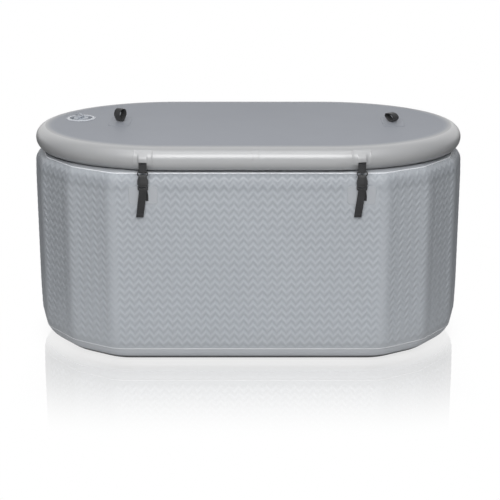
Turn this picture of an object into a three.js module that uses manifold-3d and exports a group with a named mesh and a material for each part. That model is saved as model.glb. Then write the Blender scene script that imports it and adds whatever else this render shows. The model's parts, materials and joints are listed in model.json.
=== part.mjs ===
// Inflatable cold plunge tub with a lift-off inflatable lid, strapped down by four buckles.
// Millimetres, +Z up. The origin is on the ground under the middle of the tub; -Y is the front.
import * as THREE from 'three';
import { mergeVertices } from 'three/addons/utils/BufferGeometryUtils.js';
import Module from 'manifold-3d';

const wasm = await Module();
wasm.setup();

// Whole object
const WALL_LENGTH = 1512;
const LID_LENGTH = 1500;
const WIDTH = 800;
const TUB_HEIGHT = 680;
const LID_HEIGHT = 80;
const WALL = 100;
const SHEET = 1.2;
const GAP = 0.3;

// Wall plan: two straight sides, and three flat facets from each corner to the tip of an end
const FACET_HEADINGS = [31, 52, 77];
const CREASE_RADIUS = 80;
const INNER_CREASE_RADIUS = 8;
const CREASE_STEPS = 2;
const BASE_CREASE_GROWTH = 120;

// Rounded edges of the wall, and the seams of their edge bands
const EDGE_RADIUS = WALL / 2;
const TOP_SEAM_ANGLE = 48;
const TOP_SEAM_OPENING = 0.5;
const BOTTOM_SEAM_HEIGHT = 58;
const BASE_RADIUS = 85;
const INNER_FOOT_RADIUS = 12;
const FLOOR_THICKNESS = 3;

// Lid plan: straight sides and half-ellipse ends, a little wider than the wall
const LID_STRAIGHT = 266;
const LID_OVERHANG = 2;
const LID_STEPS = 20;
const RAIL_RADIUS = LID_HEIGHT / 2;
const RAIL_STEPS = 8;

// Straps and side-release buckles
const STRAP_X = { frontLeft: -348, frontRight: 375, rear: 365 };
const WEBBING_WIDTH = 25;
const WEBBING = 1.6;
const BUCKLE_OUT = 8;
const BUCKLE_MOUTH = 641;
const SOCKET_STATIONS = [
  [641, 16.5, 5], [645, 18, 5], [655, 18, 5], [664, 15.5, 4.6], [671, 13.6, 4.2], [674, 13.2, 3.4],
];
const SOCKET_CHAMFER = 2;
const SOCKET_CAVITY = { half: 15, thick: 6.6, roof: 668 };
const SOCKET_WINDOW = { low: 652.5, high: 664.5, thick: 5.8 };
const FRAME = { half: 18, low: 671, high: 689, thick: 4.6, radius: 6 };
const FRAME_SLOT = { half: 13.8, low: 675, high: 684.4, radius: 3 };
const BASE = { half: 17.5, low: 623, high: 640.7, thick: 5, radius: 4 };
const BASE_SLOT = { half: 13.8, low: 627.5, high: 634, radius: 1.5 };
const TONGUE = { half: 2.5, thick: 4.8, top: 666 };
const ARM_THICK = 4.8;
const ARM_OUTLINE = [
  [7.9, 641.1], [10.1, 641.1], [14, 645.5], [14.2, 653], [17.4, 653], [17.6, 655],
  [16.8, 661], [14.2, 664.3], [10.5, 665.5], [8.6, 664], [9, 653], [7.9, 645],
];
const BAR_CLEARANCE = 0.5;
const LID_WEBBING_WRAP = [209, 397];
const LID_PATCH = { width: 65, from: 56, to: -24 };
const WALL_PATCH = { width: 96, low: 574, high: 634, radius: 10 };
const ANCHOR_LOW = 586;
const ANCHOR_LEAVES = 604;
const ANCHOR_SHIFT = 8;
const TAIL_LOW = 532;
const TAIL_SHIFT = -12;
const TAIL_HEM = 10;

// Webbing grab loops on the lid
const HANDLE_PATCH = { width: 76, depth: 140, radius: 12 };
const HANDLE_WIDTH = 27;
const HANDLE_WEBBING = 2.2;
const LEFT_HANDLE = { x: -455, y: 18, turn: 53, height: 48, bulge: 18, lean: 0.05 };
const RIGHT_HANDLE = { x: 512, y: 12, turn: 125, height: 32, bulge: 22, lean: 0.3 };

// Air valves: a dished flange, a sprung plunger and a tethered cap
const VALVE_SIDES = 20;
const FLANGE_RADIUS = 52;
const DISH_RADIUS = 40;
const NECK_RADIUS = 27;
const WELL_RADIUS = 24;
const WELL_DEPTH = 18;
const SEAT_THICKNESS = 4;
const STEM_RADIUS = 2.6;
const BUTTON_RADIUS = 7.6;
const SEAL_RADIUS = 12;
const PORT_COUNT = 4;
const PORT_RADIUS = 1.8;
const PORT_CIRCLE = 9;
const SPRING_RADIUS = 5;
const SPRING_WIRE = 0.5;
const SPRING_TURNS = 4;
const TETHER = { width: 5, thick: 1.6, height: 12, lug: 43, hinge: 1 };
const LID_VALVE = { x: -600, y: 72, lugAngle: 122, capAngle: 66 };
const WALL_VALVE = { x: 180, z: 585, lugAngle: 90, capAngle: 90 };

// Drain through the rear wall
const DRAIN = { x: 0, z: 124, bore: 16, tube: 20, flange: 38, nut: 31, plug: 15.6, head: 26 };
const DRAIN_SIDES = 20;

const CENTRE_LID = TUB_HEIGHT + RAIL_RADIUS;
const LID_TOP = TUB_HEIGHT + LID_HEIGHT;
const LID_HALF_WIDTH = WIDTH / 2 + LID_OVERHANG;
const LID_END = LID_LENGTH / 2 - LID_STRAIGHT;
const BASE_SEAM_ANGLE = THREE.MathUtils.radToDeg(Math.asin(1 - BOTTOM_SEAM_HEIGHT / BASE_RADIUS));

const radians = THREE.MathUtils.degToRad;

const pvc = (color, roughness) => new THREE.MeshStandardMaterial({ color, roughness, metalness: 0 });
const wallSheet = pvc(0xa7acb0, 0.5);
const bandSheet = pvc(0xa8a9ae, 0.35);
const railSheet = pvc(0xc7c8ca, 0.25);
const lidSheet = pvc(0x9c9fa6, 0.6);
const threads = pvc(0xd8d8d4, 0.9);
const webbing = pvc(0x2c2c2e, 0.85);
const blackPlastic = pvc(0x232324, 0.4);
const palePlastic = pvc(0xc9ccd2, 0.35);
const rubber = pvc(0x303032, 0.7);
const steel = new THREE.MeshStandardMaterial({ color: 0xb8babd, roughness: 0.3, metalness: 1 });

const tub = new THREE.Group();

function add(name, geometry, material, group = tub) {
  const mesh = new THREE.Mesh(geometry, material);
  mesh.name = name;
  group.add(mesh);
}

// Joining and cutting of closed meshes

function solid(geometry) {
  const bare = geometry.clone();
  bare.deleteAttribute('normal');
  bare.deleteAttribute('uv');
  const merged = mergeVertices(bare, 1e-4);
  return new wasm.Manifold(new wasm.Mesh({
    numProp: 3,
    vertProperties: new Float32Array(merged.attributes.position.array),
    triVerts: new Uint32Array(merged.index.array),
  }));
}

function surface(manifold) {
  const mesh = manifold.getMesh();
  const geometry = new THREE.BufferGeometry();
  geometry.setAttribute('position', new THREE.BufferAttribute(mesh.vertProperties, 3));
  geometry.setIndex(new THREE.BufferAttribute(mesh.triVerts, 1));
  geometry.computeVertexNormals();
  return geometry;
}

function cut(geometry, ...tools) {
  return surface(tools.reduce((rest, tool) => rest.subtract(solid(tool)), solid(geometry)));
}

function join(geometry, ...others) {
  return surface(others.reduce((whole, other) => whole.add(solid(other)), solid(geometry)));
}

// Lofts

function outward(geometry) {
  const position = geometry.attributes.position;
  const index = geometry.index.array;
  const [a, b, c] = [new THREE.Vector3(), new THREE.Vector3(), new THREE.Vector3()];
  let volume = 0;
  for (let i = 0; i < index.length; i += 3) {
    a.fromBufferAttribute(position, index[i]);
    b.fromBufferAttribute(position, index[i + 1]);
    c.fromBufferAttribute(position, index[i + 2]);
    volume += a.dot(b.cross(c));
  }
  if (volume < 0) index.reverse();
  geometry.computeVertexNormals();
  return geometry;
}

// Skin over a row of closed loops with equal counts: a ring where the row closes, else a capped bar
function loft(loops, closed) {
  const count = loops[0].length;
  const points = loops.flat();
  const index = [];
  const rows = closed ? loops.length : loops.length - 1;
  for (let row = 0; row < rows; row += 1) {
    const next = (row + 1) % loops.length;
    for (let i = 0; i < count; i += 1) {
      const j = (i + 1) % count;
      const [a, b] = [row * count + i, row * count + j];
      const [c, d] = [next * count + j, next * count + i];
      index.push(a, b, c, a, c, d);
    }
  }
  if (!closed) {
    const last = (loops.length - 1) * count;
    for (let i = 1; i < count - 1; i += 1) {
      index.push(0, i + 1, i, last, last + i, last + i + 1);
    }
  }
  const geometry = new THREE.BufferGeometry().setFromPoints(points);
  geometry.setIndex(new THREE.BufferAttribute(new Uint32Array(index), 1));
  return outward(geometry);
}

function arc(x, y, radius, from, to, steps) {
  return Array.from({ length: steps + 1 }, (_, i) => {
    const angle = radians(from + (to - from) * i / steps);
    return [x + radius * Math.cos(angle), y + radius * Math.sin(angle)];
  });
}

// A flat webbing or strap: stations hold a point, the direction across and, if not even, a thickness
function ribbon(stations, width, thickness) {
  const loops = stations.map((station, i) => {
    const before = stations[Math.max(i - 1, 0)].point;
    const after = stations[Math.min(i + 1, stations.length - 1)].point;
    const along = after.clone().sub(before);
    const across = station.across.clone().multiplyScalar(width / 2);
    const out = along.cross(station.across).setLength((station.thickness ?? thickness) / 2);
    return [[1, 1], [-1, 1], [-1, -1], [1, -1]].map(
      ([u, v]) => station.point.clone().addScaledVector(across, u).addScaledVector(out, v));
  });
  return loft(loops, false);
}

function roundedOutline(left, low, right, high, radius) {
  const shape = new THREE.Shape();
  shape.absarc(right - radius, low + radius, radius, -Math.PI / 2, 0, false);
  shape.absarc(right - radius, high - radius, radius, 0, Math.PI / 2, false);
  shape.absarc(left + radius, high - radius, radius, Math.PI / 2, Math.PI, false);
  shape.absarc(left + radius, low + radius, radius, Math.PI, Math.PI * 1.5, false);
  shape.closePath();
  return shape;
}

function extruded(shape, depth, curveSegments = 3) {
  return new THREE.ExtrudeGeometry(shape, { depth, bevelEnabled: false, curveSegments });
}

// A profile of [radius, height] turned about +Z
function turned(profile, sides) {
  const points = profile.map(([r, z]) => new THREE.Vector2(r, z));
  return outward(new THREE.LatheGeometry(points, sides).rotateX(Math.PI / 2));
}

function closedTurned(profile, sides) {
  return turned([...profile, profile[0]], sides);
}

// Plans of the wall and of the lid, moved inwards by an inset. The creases grow rounder towards the base

function wallCorners() {
  const headings = FACET_HEADINGS.map(radians);
  const rise = headings.reduce((sum, angle) => sum + Math.sin(angle), 0);
  const run = headings.reduce((sum, angle) => sum + Math.cos(angle), 0);
  const facet = WIDTH / 2 / rise;
  let corner = new THREE.Vector2(WALL_LENGTH / 2 - facet * run, -WIDTH / 2);
  const quarter = [corner];
  for (const angle of headings) {
    corner = corner.clone().add(new THREE.Vector2(Math.cos(angle), Math.sin(angle)).multiplyScalar(facet));
    quarter.push(corner);
  }
  const back = quarter.slice(0, -1).reverse().map((p) => new THREE.Vector2(p.x, -p.y));
  const right = [...quarter, ...back];
  return [...right, ...right.map((p) => p.clone().negate())];
}

const WALL_CORNERS = wallCorners();

function wallRing(inset, z) {
  const count = WALL_CORNERS.length;
  const growth = BASE_CREASE_GROWTH * Math.max(0, 1 - z / BASE_RADIUS);
  const radius = Math.max(CREASE_RADIUS + growth - inset, INNER_CREASE_RADIUS);
  const ring = [];
  for (let i = 0; i < count; i += 1) {
    const corner = WALL_CORNERS[i];
    const before = corner.clone().sub(WALL_CORNERS[(i + count - 1) % count]).angle();
    const after = WALL_CORNERS[(i + 1) % count].clone().sub(corner).angle();
    const turn = THREE.MathUtils.euclideanModulo(after - before, 2 * Math.PI);
    const inwards = before + turn / 2 + Math.PI / 2;
    const reach = (inset + radius) / Math.cos(turn / 2);
    const centre = new THREE.Vector2(Math.cos(inwards), Math.sin(inwards)).multiplyScalar(reach).add(corner);
    for (let step = 0; step <= CREASE_STEPS; step += 1) {
      const angle = before + turn * step / CREASE_STEPS - Math.PI / 2;
      ring.push(new THREE.Vector3(
        centre.x + radius * Math.cos(angle), centre.y + radius * Math.sin(angle), z));
    }
  }
  return ring;
}

function lidRing(inset, z) {
  const ring = [];
  for (const side of [1, -1]) {
    for (let step = 0; step <= LID_STEPS; step += 1) {
      const angle = radians(-90 + 180 * step / LID_STEPS);
      const normal = new THREE.Vector2(Math.cos(angle) / LID_END, Math.sin(angle) / LID_HALF_WIDTH);
      normal.setLength(inset);
      const x = LID_STRAIGHT + LID_END * Math.cos(angle) - normal.x;
      const y = LID_HALF_WIDTH * Math.sin(angle) - normal.y;
      ring.push(new THREE.Vector3(side * x, side * y, z));
    }
  }
  return ring;
}

function ringSolid(plan, section) {
  return loft(section.map(([inset, z]) => plan(inset, z)), true);
}

function plateSolid(plan, inset, low, high) {
  return loft([plan(inset, low), plan(inset, high)], false);
}

// Wall pieces. Sections are in [inset, height], with the outer face at inset 0

const TOP_CENTRE = TUB_HEIGHT - EDGE_RADIUS;

// The outer face's curve into the base, from its seam up to where the wall stands straight
function baseCurve(inset) {
  const radius = BASE_RADIUS - inset;
  return arc(BASE_RADIUS, BASE_RADIUS, radius, 180 + BASE_SEAM_ANGLE, 180, 2);
}

function outerSkin() {
  const top = 180 - TOP_SEAM_ANGLE;
  return ringSolid(wallRing, [
    ...baseCurve(0),
    ...arc(EDGE_RADIUS, TOP_CENTRE, EDGE_RADIUS, 180, top, 2),
    ...arc(EDGE_RADIUS, TOP_CENTRE, EDGE_RADIUS - SHEET, top, 180, 2),
    ...baseCurve(SHEET).reverse(),
  ]);
}

function innerSkin() {
  return ringSolid(wallRing, [
    [WALL, BOTTOM_SEAM_HEIGHT],
    ...arc(EDGE_RADIUS, TOP_CENTRE, EDGE_RADIUS, 0, TOP_SEAM_ANGLE, 2),
    ...arc(EDGE_RADIUS, TOP_CENTRE, EDGE_RADIUS - SHEET, TOP_SEAM_ANGLE, 0, 2),
    [WALL - SHEET, BOTTOM_SEAM_HEIGHT],
  ]);
}

function wallCore() {
  const radius = EDGE_RADIUS - SHEET - GAP;
  return ringSolid(wallRing, [
    ...baseCurve(EDGE_RADIUS - radius),
    ...arc(EDGE_RADIUS, TOP_CENTRE, radius, 180, 180 - TOP_SEAM_ANGLE, 2),
    ...arc(EDGE_RADIUS, TOP_CENTRE, radius, TOP_SEAM_ANGLE, 0, 2),
    [EDGE_RADIUS + radius, BOTTOM_SEAM_HEIGHT],
  ]);
}

function topBand() {
  const from = 180 - TOP_SEAM_ANGLE - TOP_SEAM_OPENING;
  const to = TOP_SEAM_ANGLE + TOP_SEAM_OPENING;
  return ringSolid(wallRing, arc(EDGE_RADIUS, TOP_CENTRE, EDGE_RADIUS, from, to, 6));
}

function bottomBand() {
  const opening = THREE.MathUtils.radToDeg(2 * GAP / BASE_RADIUS);
  const innerFoot = WALL - INNER_FOOT_RADIUS;
  return ringSolid(wallRing, [
    ...arc(BASE_RADIUS, BASE_RADIUS, BASE_RADIUS, 180 + BASE_SEAM_ANGLE + opening, 270, 5),
    ...arc(innerFoot, INNER_FOOT_RADIUS, INNER_FOOT_RADIUS, 270, 360, 3),
    [WALL, BOTTOM_SEAM_HEIGHT - 3 * GAP],
  ]);
}

// Air valve, standing on its outer surface at height 0 with its axis along +Z

function valveBody() {
  const seat = -WELL_DEPTH - SEAT_THICKNESS;
  const guide = STEM_RADIUS + 0.8;
  const body = closedTurned([
    [FLANGE_RADIUS, GAP], [FLANGE_RADIUS, 1.1], [47, 3.6], [42, 4], [DISH_RADIUS, 2.6], [39, -6],
    [NECK_RADIUS + 1.5, -6], [NECK_RADIUS, 0], [WELL_RADIUS, 0], [WELL_RADIUS, -WELL_DEPTH],
    [guide, -WELL_DEPTH], [guide, seat], [NECK_RADIUS, seat], [NECK_RADIUS + 1, -9], [41.5, -9], [42, GAP],
  ], VALVE_SIDES);
  const ports = Array.from({ length: PORT_COUNT }, (_, i) => {
    const angle = 2 * Math.PI * i / PORT_COUNT;
    const port = new THREE.CylinderGeometry(PORT_RADIUS, PORT_RADIUS, 3 * SEAT_THICKNESS, 6);
    port.rotateX(Math.PI / 2);
    return port.translate(PORT_CIRCLE * Math.cos(angle), PORT_CIRCLE * Math.sin(angle), seat);
  });
  return cut(body, ...ports);
}

function valveHole() {
  return turned([[0, -36], [NECK_RADIUS + 2, -36], [NECK_RADIUS + 2, -9.4], [42.6, -9.4], [42.6, 8], [0, 8]],
    VALVE_SIDES);
}

const BUTTON_TOP = -5.6;
const BUTTON_UNDER = -9.2;

function valvePlunger() {
  const seal = -WELL_DEPTH - SEAT_THICKNESS - GAP;
  return turned([
    [0, seal - 2], [SEAL_RADIUS, seal - 2], [SEAL_RADIUS, seal], [STEM_RADIUS, seal],
    [STEM_RADIUS, BUTTON_UNDER], [BUTTON_RADIUS, BUTTON_UNDER], [BUTTON_RADIUS, BUTTON_TOP - 0.6],
    [BUTTON_RADIUS - 1, BUTTON_TOP], [0, BUTTON_TOP],
  ], 12);
}

// Least distance between turns of a coil, less its wire
function leastGap(centres, stepsPerTurn, wire) {
  let least = Infinity;
  for (let i = 0; i < centres.length; i += 1) {
    for (let j = i + Math.floor(stepsPerTurn / 2); j < centres.length; j += 1) {
      least = Math.min(least, centres[i].distanceTo(centres[j]) - 2 * wire);
    }
  }
  return least;
}

function valveSpring() {
  const stepsPerTurn = 8;
  const low = -WELL_DEPTH + SPRING_WIRE + GAP;
  const high = BUTTON_UNDER - SPRING_WIRE - GAP;
  const steps = SPRING_TURNS * stepsPerTurn;
  const centres = [];
  const loops = [];
  for (let step = 0; step <= steps; step += 1) {
    const angle = 2 * Math.PI * step / stepsPerTurn;
    const radial = new THREE.Vector3(Math.cos(angle), Math.sin(angle), 0);
    const centre = radial.clone().multiplyScalar(SPRING_RADIUS).setZ(low + (high - low) * step / steps);
    centres.push(centre);
    loops.push(arc(0, 0, SPRING_WIRE, 0, 288, 4).map(
      ([r, z]) => centre.clone().addScaledVector(radial, r).add(new THREE.Vector3(0, 0, z))));
  }
  console.log(`least gap of a valve spring: ${leastGap(centres, stepsPerTurn, SPRING_WIRE).toFixed(2)} mm`);
  return loft(loops, false);
}

function polar(radius, degrees, z) {
  return new THREE.Vector3(radius * Math.cos(radians(degrees)), radius * Math.sin(radians(degrees)), z);
}

// Cap with a hollow plug and a grip bar. Its tether arches across to a round hinge end on the flange
function valveCap({ lugAngle, capAngle }) {
  const disc = turned([
    [0, 0.4], [WELL_RADIUS - 4, 0.4], [WELL_RADIUS - 4, -5], [WELL_RADIUS - 1.2, -5],
    [WELL_RADIUS - 1.2, 0.4], [26, 0.4], [26.4, 1.5], [25, 3.4], [0, 3.4],
  ], VALVE_SIDES);
  const grip = new THREE.BoxGeometry(36, 6, 5).rotateZ(radians(capAngle)).translate(0, 0, 5);
  const lug = polar(TETHER.lug, lugAngle, 4 + GAP + TETHER.thick / 2);
  const root = polar(23, capAngle, 2.4);
  const middle = lug.clone().lerp(root, 0.5).setZ(TETHER.height);
  const hingeLine = polar(1, lugAngle + 90, 0);
  const across = root.clone().sub(lug).setZ(0).normalize().cross(new THREE.Vector3(0, 0, 1));
  if (across.dot(hingeLine) < 0) hingeLine.negate();
  const knots = [lug, polar(TETHER.lug - 3, lugAngle, lug.z + 1), middle, root.clone().setZ(3.6), root];
  const points = new THREE.CatmullRomCurve3(knots).getPoints(14);
  const stations = points.map((point, i) => ({
    point, across: hingeLine.clone().lerp(across, Math.min(1, i / 7)).normalize(),
  }));
  const tether = ribbon(stations, TETHER.width, TETHER.thick);
  const hinge = new THREE.CylinderGeometry(TETHER.hinge, TETHER.hinge, TETHER.width + 2, 12);
  hinge.rotateZ(radians(lugAngle)).translate(lug.x, lug.y, lug.z);
  return join(disc, grip, tether, hinge);
}

function addValve(name, place, matrix) {
  const group = new THREE.Group();
  matrix.decompose(group.position, group.quaternion, group.scale);
  tub.add(group);
  add(`${name}_body`, valveBody(), palePlastic, group);
  add(`${name}_plunger`, valvePlunger(), rubber, group);
  add(`${name}_spring`, valveSpring(), steel, group);
  add(`${name}_cap`, valveCap(place), palePlastic, group);
}

const lidValveMatrix = new THREE.Matrix4().makeTranslation(LID_VALVE.x, LID_VALVE.y, LID_TOP);
const rearFacing = new THREE.Matrix4().makeRotationX(-Math.PI / 2);
const wallValveMatrix = new THREE.Matrix4()
  .makeTranslation(WALL_VALVE.x, WIDTH / 2, WALL_VALVE.z).multiply(rearFacing);
const drainMatrix = new THREE.Matrix4().makeTranslation(DRAIN.x, WIDTH / 2, DRAIN.z).multiply(rearFacing);

// Drain, with its axis along +Z out of the wall's outer face

function drainSleeve() {
  return closedTurned([
    [DRAIN.bore, -WALL - 12], [DRAIN.tube, -WALL - 12], [DRAIN.tube, 1.2], [DRAIN.flange, 1.2],
    [DRAIN.flange, 3.6], [DRAIN.flange - 2, 4.9], [DRAIN.bore, 4.9],
  ], DRAIN_SIDES);
}

function flatRing(inner, outer, low, high) {
  return closedTurned([[inner, low], [outer, low], [outer, high], [inner, high]], DRAIN_SIDES);
}

function drainNut() {
  const lobes = 8;
  const shape = new THREE.Shape();
  const count = lobes * 4;
  for (let i = 0; i <= count; i += 1) {
    const angle = 2 * Math.PI * i / count;
    const radius = DRAIN.nut + 1.5 * Math.cos(lobes * angle);
    const place = [radius * Math.cos(angle), radius * Math.sin(angle)];
    if (i === 0) shape.moveTo(...place);
    else shape.lineTo(...place);
  }
  const hole = new THREE.Path().absarc(0, 0, DRAIN.tube + GAP, 0, 2 * Math.PI, true);
  shape.holes.push(hole);
  return extruded(shape, 8, DRAIN_SIDES / 2).translate(0, 0, -WALL - GAP - 8);
}

function drainPlug() {
  const stopper = turned([
    [0, -14], [DRAIN.plug - 1, -14], [DRAIN.plug, -12], [DRAIN.plug, 6.6], [DRAIN.head, 6.6],
    [DRAIN.head, 8.2], [DRAIN.head - 2, 9.6], [0, 9.6],
  ], DRAIN_SIDES);
  const grip = new THREE.BoxGeometry(40, 7, 4.8).translate(0, 0, 10.9);
  return join(stopper, grip);
}

function drainHole() {
  const length = WALL + 40;
  const hole = new THREE.CylinderGeometry(DRAIN.tube + GAP, DRAIN.tube + GAP, length, DRAIN_SIDES);
  return hole.rotateX(Math.PI / 2).translate(0, 0, -WALL / 2);
}

function addDrain() {
  const group = new THREE.Group();
  drainMatrix.decompose(group.position, group.quaternion, group.scale);
  tub.add(group);
  add('drain_sleeve', drainSleeve(), blackPlastic, group);
  add('drain_gasket', flatRing(DRAIN.tube + 1, DRAIN.flange - 1, GAP, 0.9), rubber, group);
  add('drain_nut', drainNut(), blackPlastic, group);
  add('drain_plug', drainPlug(), blackPlastic, group);
  add('drain_plug_seal', flatRing(DRAIN.plug + 0.6, DRAIN.head - 3, 5.2, 6.3), rubber, group);
}

// Straps. A place is given across the strap, out from the wall's front face, and in height

function place(across, out, z) {
  return new THREE.Vector3(across, -WIDTH / 2 - out, z);
}

const ACROSS = new THREE.Vector3(1, 0, 0);

// The lid's front edge at a given x: its point and its outward normal
function lidEdge(x) {
  const beyond = Math.max(Math.abs(x) - LID_STRAIGHT, 0) * Math.sign(x);
  const y = -LID_HALF_WIDTH * Math.sqrt(1 - (beyond / LID_END) ** 2);
  const normal = new THREE.Vector3(beyond / LID_END ** 2, y / LID_HALF_WIDTH ** 2, 0).normalize();
  return { point: new THREE.Vector3(x, y, CENTRE_LID), normal };
}

// A point round the lid's rail at a given x, at an angle above the level of its middle
function onRail(x, radius, degrees) {
  const { point, normal } = lidEdge(x);
  const level = radius * Math.cos(radians(degrees)) - RAIL_RADIUS;
  point.z += radius * Math.sin(radians(degrees));
  return point.addScaledVector(normal, level);
}

// Welded on the rail, straight along the rail's tangent at the strap
function lidPatch(x) {
  const rows = 6;
  const inner = RAIL_RADIUS + GAP;
  const { normal } = lidEdge(x);
  const along = new THREE.Vector3(-normal.y, normal.x, 0).multiplyScalar(LID_PATCH.width / 2);
  const loops = [];
  for (let row = 0; row <= rows; row += 1) {
    const angle = THREE.MathUtils.lerp(LID_PATCH.from, LID_PATCH.to, row / rows);
    const [over, under] = [onRail(x, inner + SHEET, angle), onRail(x, inner, angle)];
    loops.push([
      over.clone().add(along), over.clone().sub(along), under.clone().sub(along), under.clone().add(along),
    ]);
  }
  return loft(loops, false);
}

// Path round a bar in the plane across the strap: angles turn from outwards towards up
function roundBar(x, z, radius, from, to, steps) {
  return arc(BUCKLE_OUT, z, radius, from, to, steps).map(
    ([out, height]) => ({ point: place(x, out, height), across: ACROSS }));
}

function barWrap(slotEdge, outerEdge, thick) {
  const half = Math.hypot((slotEdge - outerEdge) / 2, thick / 2);
  return half + BAR_CLEARANCE + WEBBING / 2;
}

// Sewn to the lid patch, down behind the bar of the socket, round it and up again in front
function lidWebbing(x) {
  const sewn = RAIL_RADIUS + SHEET + 2 * GAP + WEBBING / 2;
  const { normal } = lidEdge(x);
  const across = new THREE.Vector3(-normal.y, normal.x, 0);
  const bar = (FRAME_SLOT.high + FRAME.high) / 2;
  const wrap = barWrap(FRAME_SLOT.high, FRAME.high, FRAME.thick);
  const inner = [-8, -14, -20].map((angle) => ({ point: onRail(x, sewn, angle), across }));
  const outer = [-16, -8].map((angle) => ({ point: onRail(x, sewn + WEBBING + GAP, angle), across }));
  const round = roundBar(x, bar, wrap, ...LID_WEBBING_WRAP, 7);
  return ribbon([...inner, ...round, ...outer], WEBBING_WIDTH, WEBBING);
}

function socketSection([z, half, thick], x) {
  const c = SOCKET_CHAMFER;
  const corners = [
    [half, thick - c], [half - c, thick], [c - half, thick], [-half, thick - c],
    [-half, c - thick], [c - half, -thick], [half - c, -thick], [half, c - thick],
  ];
  return corners.map(([across, out]) => place(x + across, BUCKLE_OUT + out, z));
}

// A block across the strap, centred on the buckle's middle plane
function block(x, half, thick, low, high) {
  const box = new THREE.BoxGeometry(2 * half, thick, high - low);
  return box.translate(x, -WIDTH / 2 - BUCKLE_OUT, (low + high) / 2);
}

// An outline across the strap and in height, given a thickness about the buckle's middle plane
function panel(shape, x, thick, curveSegments) {
  const plate = extruded(shape, thick, curveSegments).rotateX(Math.PI / 2);
  return plate.translate(x, -WIDTH / 2 - BUCKLE_OUT + thick / 2, 0);
}

function framePanel(x, frame, slot) {
  const shape = roundedOutline(-frame.half, frame.low, frame.half, frame.high, frame.radius);
  shape.holes.push(roundedOutline(-slot.half, slot.low, slot.half, slot.high, slot.radius));
  return panel(shape, x, frame.thick, 3);
}

function buckleSocket(x) {
  const housing = loft(SOCKET_STATIONS.map((station) => socketSection(station, x)), false);
  const cavity = block(x, SOCKET_CAVITY.half, SOCKET_CAVITY.thick, BUCKLE_MOUTH - 1, SOCKET_CAVITY.roof);
  const windows = block(x, FRAME.half + 5, SOCKET_WINDOW.thick, SOCKET_WINDOW.low, SOCKET_WINDOW.high);
  return cut(join(housing, framePanel(x, FRAME, FRAME_SLOT)), cavity, windows);
}

function bucklePlug(x) {
  const tongue = block(x, TONGUE.half, TONGUE.thick, BASE.high - 2, TONGUE.top);
  return join(framePanel(x, BASE, BASE_SLOT), tongue);
}

function buckleArm(x, side) {
  const outline = ARM_OUTLINE.map(([across, z]) => new THREE.Vector2(side * across, z));
  return panel(new THREE.Shape(outline), x, ARM_THICK);
}

function wallPatch(x) {
  const half = WALL_PATCH.width / 2;
  const shape = roundedOutline(-half, WALL_PATCH.low, half, WALL_PATCH.high, WALL_PATCH.radius);
  return extruded(shape, SHEET).rotateX(Math.PI / 2).translate(x, -WIDTH / 2 - GAP, 0);
}

// Sewn to the wall patch, up behind the bar of the plug, over it and down in front as a hemmed tail
function wallWebbing(x) {
  const sewn = SHEET + 2 * GAP + WEBBING / 2;
  const bar = (BASE.low + BASE_SLOT.low) / 2;
  const wrap = barWrap(BASE_SLOT.low, BASE.low, BASE.thick);
  const front = BUCKLE_OUT + wrap;
  const station = (shift, out, z, thickness) => (
    { point: place(x + shift, out, z), across: ACROSS, thickness });
  const hem = 2 * WEBBING + GAP;
  const tailDrop = bar - TAIL_LOW;
  const tail = [0.3, 0.6].map(
    (share) => station(TAIL_SHIFT * share, front - 3 * share, bar - tailDrop * share));
  const hemTop = TAIL_LOW + TAIL_HEM;
  const ends = [
    station(TAIL_SHIFT * 0.9, front - 3, hemTop, WEBBING),
    station(TAIL_SHIFT * 0.9, front - 3, hemTop - 0.5, hem),
    station(TAIL_SHIFT, front - 3, TAIL_LOW, hem),
  ];
  return ribbon([
    station(ANCHOR_SHIFT, sewn, ANCHOR_LOW), station(ANCHOR_SHIFT * 0.6, sewn, ANCHOR_LEAVES),
    ...roundBar(x, bar, wrap, 180, 0, 6), ...tail, ...ends,
  ], WEBBING_WIDTH, WEBBING);
}

function addStrap(name, x, turn) {
  const group = new THREE.Group();
  group.rotation.z = turn;
  tub.add(group);
  add(`lid_patch_${name}`, lidPatch(x), railSheet, group);
  add(`lid_webbing_${name}`, lidWebbing(x), webbing, group);
  add(`buckle_socket_${name}`, buckleSocket(x), blackPlastic, group);
  add(`buckle_plug_${name}`, bucklePlug(x), blackPlastic, group);
  add(`buckle_arm_a_${name}`, buckleArm(x, -1), blackPlastic, group);
  add(`buckle_arm_b_${name}`, buckleArm(x, 1), blackPlastic, group);
  add(`wall_patch_${name}`, wallPatch(x), bandSheet, group);
  add(`wall_webbing_${name}`, wallWebbing(x), webbing, group);
}

// Grab loop: both ends come up through a welded patch, and the loop swells and leans
function handleLoop({ x, y, turn, height, bulge, lean }) {
  const base = LID_TOP + 2 * GAP + SHEET + HANDLE_WEBBING / 2;
  const outline = [
    [-0.16, 0], [-0.55, 0.2], [-1, 0.55], [-0.7, 0.9], [0, 1], [0.7, 0.9], [1, 0.55], [0.55, 0.2], [0.16, 0],
  ];
  const [dx, dy] = [Math.cos(radians(turn)), Math.sin(radians(turn))];
  const curve = new THREE.CatmullRomCurve3(outline.map(([side, rise]) => {
    const offset = bulge * side + height * lean * rise;
    return new THREE.Vector3(x + dx * offset, y + dy * offset, base + (height - 2 * HANDLE_WEBBING) * rise);
  }));
  const across = new THREE.Vector3(dy, -dx, 0);
  const stations = curve.getPoints(20).map((point) => ({ point, across }));
  return ribbon(stations, HANDLE_WIDTH, HANDLE_WEBBING);
}

function handlePatch({ x, y }) {
  const { width, depth, radius } = HANDLE_PATCH;
  const shape = roundedOutline(-width / 2, -depth / 2, width / 2, depth / 2, radius);
  return extruded(shape, SHEET).translate(x, y, LID_TOP + GAP);
}

// Assembly

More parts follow.
